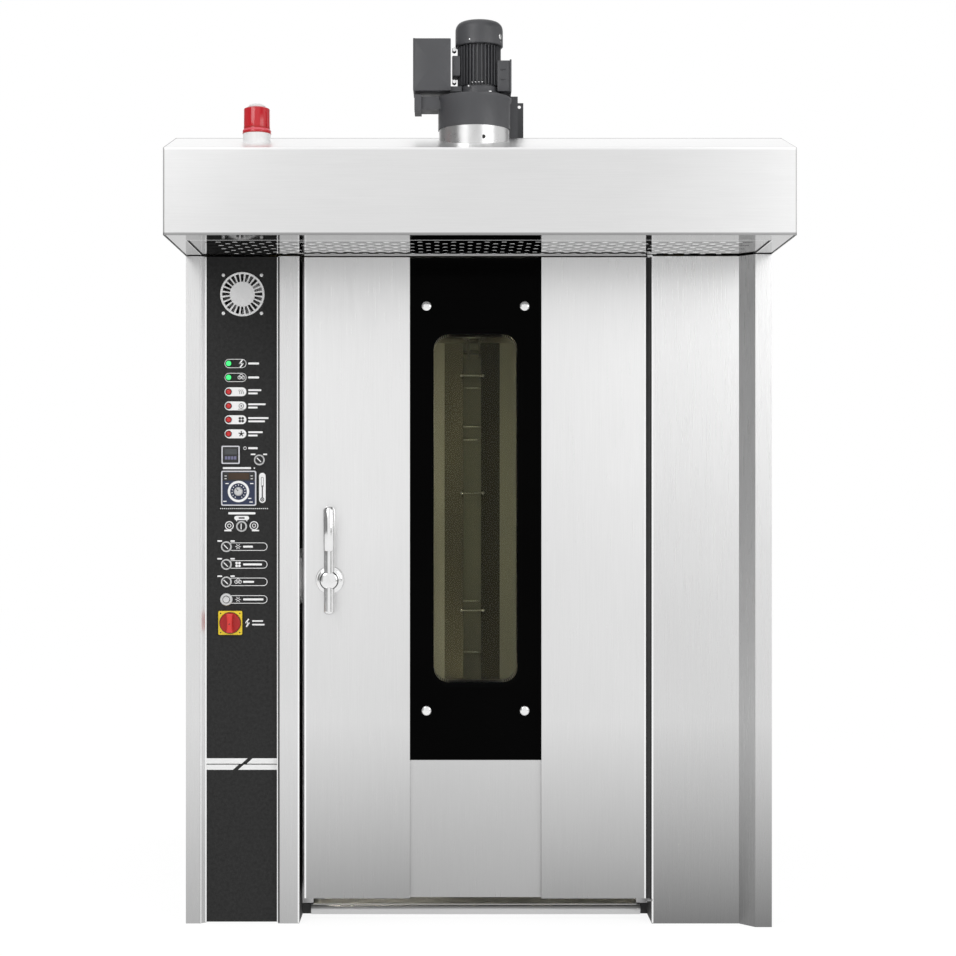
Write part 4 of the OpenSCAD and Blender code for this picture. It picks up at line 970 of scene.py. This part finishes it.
def latch_plate():
    """Two screws above and two below the bolt's pocket in the catch plate."""
    low, high = box("latch_keeper")
    head = [(POLE, 0.0012), (0.0030, 0.0010), (0.0040, 0.0)]
    heads = [lathe(head, (high[0], y, z), "x", 18) for z in (low[2] + 0.014, high[2] - 0.014)
             for y in (low[1] + 0.010, high[1] - 0.010)]
    mesh_object("latch_screws", heads, bright_steel)


# ---- Warning light and blower ----


def beacon():
    """Warning light: a smooth lens on a flared rim, with a painted shade line and a painted highlight above the rim,
    another painted shade line at the rim's foot, and a pale cap.
    """
    low, high = box("beacon_lens")
    at = (*(low + high)[:2] / 2, low[2])
    lens = [(POLE, 0.0002), (0.0366, 0.0002), (0.0368, 0.0010), (0.0368, 0.0062), (0.0350, 0.0092),
            (0.0336, 0.0130), (0.0336, 0.0150), (0.0338, 0.0152), (0.0338, 0.0628), (0.0330, 0.0650),
            (0.0250, 0.0692), (POLE, 0.0694)]
    cap = [(POLE, 0.0692), (0.0236, 0.0692), (0.0230, 0.0712), (0.0196, 0.0746), (0.0140, 0.0772), (POLE, 0.0778)]
    # A painted highlight: a bright pink glint at the rim's crease.
    glint = [(0.0342, 0.0110), (0.0350, 0.0116), (0.0372, 0.0080), (0.0370, 0.0060)]
    # Painted shade: dark lines above the flare and at the rim's foot.
    lines = ([(0.0334, 0.0140), (0.0341, 0.0140), (0.0341, 0.0170), (0.0334, 0.0170)],
             [(0.0360, 0.0002), (0.0371, 0.0004), (0.0371, 0.0022), (0.0360, 0.0022)])
    dress("beacon_lens", beacon_shade=([lathe(lens, at, "z", 96)], red_lens),
          beacon_cap=([lathe(cap, at, "z", 48)], white_plastic), beacon_rim=([lathe_ring(glint, at, "z", 72)], red_rim_highlight))
    lines = [lathe_ring(line, at, "z", 72) for line in lines]
    mesh_object("beacon_shade_lines", lines, red_dark, "beacon_lens")


BLOWER = np.array([-0.012, -0.774, 0.0])
MOTOR = np.array([0.001, -0.774, 0.0])
SIDE_TURN = 62


def blower_housing():
    """Rolled housing: a drum, a folded rim on top, a lower bead and a seam; the inlet collar has a small hole."""
    top = box("blower_housing")[1][2]
    r = 0.0945
    drum = [(r - 0.003, 2.1342), (r - 0.0002, 2.1342), (r, 2.1360), (r, 2.2040), (r + 0.0032, 2.2090),
            (r + 0.0034, 2.2170), (r + 0.0020, top - 0.0002), (POLE, top)]
    seam = slab(BLOWER + (-0.0936, -0.012, 2.140), BLOWER + (-0.0925, -0.004, 2.206), "y", 0.0003, 0.0003, 2)
    hole = lathe([(POLE, -0.0007), (0.0050, -0.0007), (0.0054, -0.0002)], (0.011, -0.8636, 2.1030), "y", 24)
    dress("blower_housing", blower_drum=([lathe(drum, BLOWER, "z", 96)], blower_paint),
          blower_seam=([turned(seam, SIDE_TURN, BLOWER, "z")], blower_paint))
    mesh_object("collar_hole", [hole], black_plastic)


def motor_screws_and_glints(foot, low, cowl_r):
    """Bolts on the flange, a row of small bright domes between the fins as painted highlights, a larger screw on the
    body, and screws round the cowl's lower edge.
    """
    bolt = lathe([(POLE, 0.0035), (0.0032, 0.0033), (0.0045, 0.0022), (0.0045, 0.0)],
                 MOTOR + (0.0590, 0, foot + 0.0076), "z", 12)
    cowl_screw = lathe([(POLE, -0.0009), (0.0024, -0.0007), (0.0032, 0.0003)],
                       MOTOR + (0, 0.0008 - cowl_r, low + 0.0090), "y", 12)
    screws = [turned(bolt, a, MOTOR, "z") for a in (-62, 15, 140, 220)]
    screws += [turned(cowl_screw, a, MOTOR, "z") for a in (-25, 65, 155, 245)]
    # Painted highlights: four small bright domes between the fins' feet, where glints off the fin ends show.
    fin_r = 0.0562
    screws += [lathe([(POLE, -0.0016), (0.0012, -0.0013), (0.0017, 0.0)],
                     MOTOR + (x, -math.sqrt(fin_r ** 2 - x ** 2), 2.2508), "y", 10)
               for x in (-0.0187, -0.0099, -0.0013, 0.0073)]
    large = lathe([(POLE, -0.0016), (0.0022, -0.0013), (0.0028, 0.0)], MOTOR + (-0.0283, -0.0545, 2.2410), "y", 12)
    return screws + [large]


def motor_parts():
    """Motor: stepped flange, a ring of upright fins, a rounded fan cowl, and its screws, with small bright domes as
    painted highlights.
    """
    foot = box("blower_motor")[0][2] + 0.0002
    low, top = (corner[2] for corner in box("motor_cowl"))
    step = low - 0.108
    flange = [(POLE, foot), (0.0650, foot), (0.0654, foot + 0.0018), (0.0650, foot + 0.0073), (0.0540, foot + 0.0080),
              (0.0532, foot + 0.0100), (0.0532, step - 0.0020), (0.0500, step - 0.0002), (0.0480, step),
              (0.0480, low - 0.0002), (POLE, low)]
    fins, first_turn = 36, 5
    fin = slab(MOTOR + (0.0470, -0.0010, step + 0.0020), MOTOR + (0.0570, 0.0010, low - 0.0020), "y", 0.0020, 0.0005, 3)
    body = [lathe(flange, MOTOR, "z", 64)]
    body += [turned(fin, i * 360 / fins + first_turn, MOTOR, "z") for i in range(fins)]
    r = 0.0624
    cowl = [(POLE, top)] + arc((r - 0.018, top - 0.0222), (0.018, 0.0220), 9)
    cowl += [(r, low + 0.0050), (r, low + 0.0018), (r - 0.0015, low + 0.0002), (0.0480, low)]
    tag = slab(MOTOR + (-0.0070, -r - 0.0002, low + 0.0150), MOTOR + (0.0070, 0.0010 - r, low + 0.0290), "y",
               0.0060, 0.0003, 3)
    mesh_object("motor_body", body, blower_paint, "blower_motor")
    dress("motor_cowl", cowl_dome=([lathe(cowl, MOTOR, "z", 72)], blower_paint),
          cowl_plate=([turned(tag, SIDE_TURN, MOTOR, "z")], bright_steel))
    mesh_object("motor_screws_and_glints", motor_screws_and_glints(foot, low, r), bright_steel, "blower_motor")


def box_parts():
    """Junction box and terminal box: folded lids with rounded edges, corner screws, glands and ribs."""
    low, high = (corner[2] for corner in box("motor_boxes"))
    low += 0.0022
    tall = high - low
    left, right = -0.173, -0.074
    inner, outer = 0.0470, 0.0840

    def part(x, y, z, corner, edge, steps):
        """A block from pairs of limits, x and y from the motor's middle and z from the boxes' foot."""
        return slab(*(MOTOR + (x[i], y[i], low + z[i]) for i in (0, 1)), "y", corner, edge, steps)

    case = part((left + 0.0005, right - 0.0005), (-0.0478, 0.0478), (0.0004, tall - 0.0004), 0.0020, 0.0008, 3)
    lid = part((left + 0.0002, left + 0.0060), (-0.0480, -0.0440), (0.0002, tall - 0.0002), 0.0010, 0.0004, 2)
    bracket = part((right - 0.0015, -0.046), (-0.0358, 0.0358), (0.0002, 0.0138), 0.0008, 0.0004, 2)
    body = part((inner, outer - 0.0042), (-0.0398, 0.0398), (0.0004, 0.0806), 0.0020, 0.0008, 3)
    cover = part((outer - 0.0050, outer - 0.0002), (-0.0428, 0.0428), (-0.0018, 0.0828), 0.0016, 0.0008, 3)
    ribs = [part((inner + 0.008, inner + 0.021), (-0.0420, -0.0390), (z, z + 0.0035), 0.0008, 0.0004, 2)
            for z in (0.030, 0.056)]
    gland = part((right + 0.0030, right + 0.0240), (-0.0340, 0.0200), (0.0420, 0.0940), 0.0030, 0.0010, 3)
    bolts = [lathe([(POLE, -0.0010), (0.0026, -0.0008), (0.0034, 0.0)], MOTOR + (left + 0.0045, -0.0469, low + z),
                   "y", 14) for z in (0.024, tall - 0.020)]
    bolts += [lathe([(POLE, -0.0040), (0.0050, -0.0038), (0.0062, -0.0020), (0.0062, 0.0160)],
                    MOTOR + (right + 0.0085, -0.0380, low + z), "y", 6) for z in (0.0250, 0.1080)]
    dress("motor_boxes", junction_case=([case, lid, bracket], blower_paint),
          terminal_case=([body, cover] + ribs, blower_paint), gland_box=([gland], blower_paint),
          box_bolts=(bolts, bright_steel))


handle_parts()
cap_heads()
latch_plate()
beacon()
blower_housing()
motor_parts()
box_parts()


# ---- Gaps beside the door, the hood's underside, and the chamber behind the window ----

RIGHT_COLUMN_W = 0.323
KEEPER_Z = (0.876, 1.030)
BOLT_Z = (0.915, 0.975)
FRONT_FACE = (FRONT - 0.0002, FRONT + 0.0002)
STRIP_SHADOW_X = (-0.5489, -0.5440)
TRAY_FRONT = -0.846
TRAY_HALF = 0.757


def strip(x, y, z, axis="y"):
    """A thin block with hardly softened edges, from a pair of limits for each direction."""
    return slab((x[0], y[0], z[0]), (x[1], y[1], z[1]), axis, 0.0002, 0.0001, 2)


def mirrored(a, b):
    """The limits a to b, and the same on the other side of the middle."""
    return (-b, -a), (a, b)


def door_gaps():
    """Dark faces down both gaps and the blackened hinge barrel, all painted shade, and bright lines at the edges of the
    gaps as painted highlights.
    """
    shell_z = [corner[2] for corner in box("door_shell")]
    left, right = (corner[0] for corner in box("door_wings"))
    column_x = box("control_column")[1][0]
    right_x = box("right_column")[1][0] - RIGHT_COLUMN_W
    z = (shell_z[0] + 0.0005, shell_z[1] - 0.0005)
    tall = (0.002, z[1])
    depth = (FRONT + 0.0025, FRONT + 0.110)
    # Painted shade: black faces on the gap sides, over steel that lies in shade.
    fixed = [strip((column_x - 0.0002, column_x + 0.0004), depth, span)
             for span in ((tall[0], KEEPER_Z[0]), (KEEPER_Z[1], tall[1]))]
    fixed.append(strip((right_x - 0.0004, right_x + 0.0002), depth, tall))
    moving = [strip((left - 0.0004, left + 0.0002), depth, span) for span in ((z[0], BOLT_Z[0]), (BOLT_Z[1], z[1]))]
    moving.append(strip((right + 0.0001, right + 0.0032), (FRONT - 0.0003, FRONT + 0.040), z))
    # The hinge barrel in black as painted shade.
    barrel = lathe([(POLE, z[0]), (0.0060, z[0]), (0.0062, z[0] + 0.0005), (0.0062, z[1] - 0.0005), (0.0060, z[1]),
                    (POLE, z[1])], (right + 0.008, FRONT + 0.002, 0.0), "z", 24)
    # Painted highlights along the rounded edges beside the gaps.
    column_edge_highlights = [strip((column_x - 0.0045, column_x), FRONT_FACE, tall),
                    strip((right_x, right_x + 0.0048), FRONT_FACE, tall)]
    door_edge_highlights = [strip((left, left + 0.0048), FRONT_FACE, z), strip((right - 0.0042, right), FRONT_FACE, z)]
    mesh_object("gap_shade", fixed, rubber_and_painted_shade)
    mesh_object("door_gap_shade", moving, rubber_and_painted_shade, body="door")
    mesh_object("hinge_barrel", [barrel], rubber_and_painted_shade, body="door")
    mesh_object("column_edge_highlights", column_edge_highlights, edge_highlight_steel)
    mesh_object("door_edge_highlights", door_edge_highlights, edge_highlight_steel, body="door")


def panel_painted_light():
    """Painted light beside the control panel: painted highlights at both sides of the bevel and a painted shade line on
    the inner strip.
    """
    low, high = box("control_panel")
    tall = (0.002, box("control_column")[1][2] - 0.001)
    bright = [strip((low[0] - 0.0034, low[0] + 0.0006), (PANEL - 0.0036, PANEL - 0.0002), tall),
              strip((low[0] - 0.0150, low[0] - 0.0125), FRONT_FACE, tall),
              strip((high[0] - 0.0046, high[0] - 0.0006), (PANEL - 0.0012, PANEL - 0.0002), tall)]
    mesh_object("panel_painted_light", bright, edge_highlight_steel)
    mesh_object("strip_shadow", [strip(STRIP_SHADOW_X, FRONT_FACE, tall)], dark_steel)


def hood_underside():
    """Slotted tray: raised bridges between the slots of each row in a brighter steel as painted highlights, a painted
    shadow sheet above, dark lines at the folds as painted shade, and bright lines beside them as painted highlights.
    """
    rim = box("hood_filter")[0][2]
    tray = rim + 0.002
    rows, first, pitch, slot_pitch, slot_l, field = 8, -0.798, 0.033, 0.044, 0.026, 0.717
    bridges = []
    for row in range(rows):
        y, shift = first + row * pitch, (row % 2) * slot_pitch / 2
        for x in np.arange(slot_l + shift - field, field - slot_pitch + 0.001 - shift, slot_pitch):
            bridges.append(slab((x + 0.0020, y - 0.0020, tray - 0.0006), (x + 0.0160, y + 0.0100, tray + 0.0002),
                                "z", 0.0040, 0.0004, 2))
    # Painted shadow: a dark sheet over the slots.
    cover = slab((-TRAY_HALF, TRAY_FRONT, tray + 0.0030), (TRAY_HALF, FRONT - 0.004, tray + 0.0036), "z", 0.002,
                 0.0002, 2)
    # Painted shade: dark lines along the tray's folded edges.
    folds = [strip(x, (TRAY_FRONT, FRONT - 0.001), (tray - 0.0004, tray + 0.0002), "z")
             for x in mirrored(TRAY_HALF - 0.0042, TRAY_HALF)]
    # Painted highlights: bright lines beside the folds and across the tray's front.
    lip_z = (rim - 0.0004, rim + 0.0002)
    lips = [strip(x, (TRAY_FRONT - 0.002, FRONT - 0.001), lip_z, "z")
            for x in mirrored(TRAY_HALF + 0.0004, TRAY_HALF + 0.0028)]
    lips.append(strip((-TRAY_HALF, TRAY_HALF), (TRAY_FRONT - 0.0045, TRAY_FRONT - 0.0022), lip_z, "z"))
    mesh_object("slot_bridges", bridges, bridge_highlight_steel, sharp=None)
    mesh_object("tray_shadow", [cover], rubber_and_painted_shade)
    mesh_object("tray_fold_shade", folds, rubber_and_painted_shade, sharp=None)
    mesh_object("tray_edge_highlights", lips, bridge_highlight_steel, sharp=None)


def chamber_details():
    """Behind the window: pressed ribs across the duct's back, and the rods of the slot with their ball ends."""
    back = box("chamber_shell")[1][1] - 0.002
    ribs = [slab((-0.058, back - 0.004, z - 0.003), (0.058, back + 0.0005, z + 0.003), "y", 0.0028, 0.0020, 4)
            for z in (1.555, 1.420, 1.374, 0.813, 0.636)]
    mesh_object("duct_ribs", ribs, bright_steel)
    y = box("air_louvres")[0][1] + 0.0065
    half, rod_r, ball_r = 0.036, 0.0034, 0.0070
    rod = [(POLE, -half), (rod_r, -half), (rod_r, half), (POLE, half)]
    ball = arc((POLE, 0), (ball_r, -ball_r), 9, np.pi)
    rods = []
    for z in (1.588, 1.1885, 0.789):
        rods += [lathe(rod, (0, y, z), "x", 16)] + [lathe(ball, (s * half, y, z), "x", 18) for s in (-1, 1)]
    mesh_object("slot_rods", rods, bright_steel)


# ---- Seams and rivets of the outer sheets ----

SEAM = 0.003
RIVET_Z = (0.06, 0.05)
RIVET_ROWS = 9
SHEET_SHARP = 12


def rivets(xs, ys, zs, axis, side=1):
    """Domed rivet heads at every combination of the coordinates: shallow caps on the side given by its sign."""
    head = [(0.0046, 0.0), (0.0044, side * 0.0005), (0.0028, side * 0.0009), (POLE, side * 0.0010)]
    return [lathe(head, (x, y, z), axis, 10) for x in xs for y in ys for z in zs]


def rivet_ends(high):
    """The heights of the lowest and highest rivets on a sheet that is so high."""
    return RIVET_Z[0], high - RIVET_Z[1]


def side_sheets():
    """Each side in three sheets with open seams over backing strips, held by rows of rivets beside the edges."""
    _, high = box("side_panels")
    sheet, proud, row = 0.003, 0.001, 0.022
    front = FRONT + 0.040
    edges = np.linspace(front, high[1], 4)
    ends = rivet_ends(high[2])
    top = high[2] - 0.0005
    sheets, backs, heads = [], [], []
    for side in (-1, 1):
        face, back, behind = (side * (high[0] - proud - i * sheet) for i in range(3))
        x = sorted((face, back))
        for a, b in zip(edges, edges[1:]):
            sheets.append(slab((x[0], a + SEAM / 2, 0.0005), (x[1], b - SEAM / 2, top), "x", 0.002, 0.0008, 3))
            heads += rivets([face], (a + row, b - row), np.linspace(*ends, RIVET_ROWS), "x", side)
            heads += rivets([face], np.linspace(a + row, b - row, 4)[1:-1], ends, "x", side)
        sheets.append(slab((x[0], FRONT + 0.0035, box("hood_shell")[0][2] + 0.001), (x[1], front - SEAM / 2, top),
                           "x", 0.002, 0.0008, 3))
        x = sorted((behind, back))
        backs += [slab((x[0], y - 0.02, 0.001), (x[1], y + 0.02, high[2] - 0.001), "x", 0.001, 0.0005, 2)
                  for y in edges[1:-1]]
    mesh_object("side_sheets", sheets, sheet_steel, "side_panels", sharp=SHEET_SHARP)
    mesh_object("side_backing", backs, frame_paint)
    mesh_object("side_rivets", heads, satin_metal)


def rear_details():
    """Rear: two dark seams, rows of rivets, and a raised service cover."""
    low, high = box("rear_panel")
    y = high[1]
    seam_x, beside, inset, rise = 0.27, 0.020, 0.018, 0.0030
    cover_x, cover_z = (-0.190, 0.190), (0.72, 1.20)
    seams = [slab((x - SEAM / 2, y - 0.0002, 0.02), (x + SEAM / 2, y + 0.0003, high[2] - 0.02), "y", 0.0005, 0.0001, 2)
             for x in (-seam_x, seam_x)]
    cover = slab((cover_x[0], y - 0.0002, cover_z[0]), (cover_x[1], y + rise, cover_z[1]), "y", 0.006, 0.0010, 3)
    columns = (low[0] + beside, -seam_x - beside, beside - seam_x, seam_x - beside, seam_x + beside, high[0] - beside)
    ends = rivet_ends(high[2])
    heads = rivets(columns, [y], np.linspace(*ends, RIVET_ROWS), "y")
    heads += rivets((-0.60, -0.44, -0.08, 0.08, 0.44, 0.60), [y], ends, "y")
    heads += rivets((cover_x[0] + inset, 0.0, cover_x[1] - inset), [y + rise],
                    (cover_z[0] + inset, cover_z[1] - inset), "y")
    mesh_object("rear_seams", seams, rubber_and_painted_shade)
    mesh_object("service_cover", [cover], sheet_steel, sharp=SHEET_SHARP)
    mesh_object("rear_rivets", heads, satin_metal)


def roof_details():
    """Roof: one dark seam across it and rivets along its edges."""
    low, high = box("roof_panel")
    z, back = high[2], high[1] - 0.03
    seam_y, beside, inset = 0.198, 0.018, 0.022
    seam = slab((low[0] + 0.003, seam_y, z - 0.0002), (high[0] - 0.003, seam_y + SEAM, z + 0.0003), "z",
                0.0005, 0.0001, 2)
    heads = rivets((low[0] + inset, high[0] - inset), np.linspace(-0.50, back, RIVET_ROWS), [z], "z")
    heads += rivets((-0.62, -0.44, 0.44, 0.62), (seam_y - beside, seam_y + SEAM + beside, back), [z], "z")
    mesh_object("roof_seam", [seam], rubber_and_painted_shade)
    mesh_object("roof_rivets", heads, satin_metal)


door_gaps()
panel_painted_light()
hood_underside()
chamber_details()
side_sheets()
rear_details()
roof_details()


# ---- Floor, light and backdrop ----


def make_floor():
    """A plain white floor: its look is partly lit, so that the shadows stay, and for the most part plain white."""
    mesh = bpy.data.meshes.new("floor")
    mesh.from_pydata([(-12, -9, 0), (12, -9, 0), (12, 14, 0), (-12, 14, 0)], [], [(0, 1, 2, 3)])
    material = bpy.data.materials.new("floor")
    t = Tree(material)
    white_share = t.spread(t.on_rays("Is Camera Ray", "Is Glossy Ray"), 0, 1, 0, 0.82)
    glow = t.plain("Emission", 1, [("Strength", 1.10)])
    t.end("OutputMaterial", t.mix(white_share, t.plain("BsdfDiffuse", 0.9), glow))
    mesh.materials.append(material)
    floor = bpy.data.objects.new("floor", mesh)
    bpy.context.scene.collection.objects.link(floor)


def make_world():
    """A grey soft light all round, white where the camera sees it, and a studio with darker sides in the metal."""
    world = bpy.data.worlds.new("world")
    bpy.context.scene.world = world
    t = Tree(world)
    side = t.spread(t.axis("X", "Generated"), -1, 1, 0, 1)
    studio = t.add("Background")
    tones = [(0, 0.33), (0.075, 0.2), (0.2, 0.28), (0.29, 1), (0.71, 1), (0.79, 0.25), (0.875, 0.25), (0.94, 1)]
    t.link(t.ramp(side, tones), studio.inputs["Color"])
    glossy = t.add("LightPath").outputs["Is Glossy Ray"]
    soft = t.mix(glossy, t.plain("Background", 0.8, [("Strength", 0.75)]), studio.outputs[0])
    seen = t.on_rays("Is Camera Ray", "Is Transmission Ray")
    t.end("OutputWorld", t.mix(seen, soft, t.plain("Background", 1)))


make_camera()
make_floor()
make_world()
area_light("key", (-2.6, -4.2, 4.2), (48, 0, -30), (2.4, 2.4), 66)
area_light("fill", (3.2, -4.0, 2.6), (65, 0, 38), (2.6, 2.6), 56)
bpy.context.scene.view_settings.view_transform = "Standard"
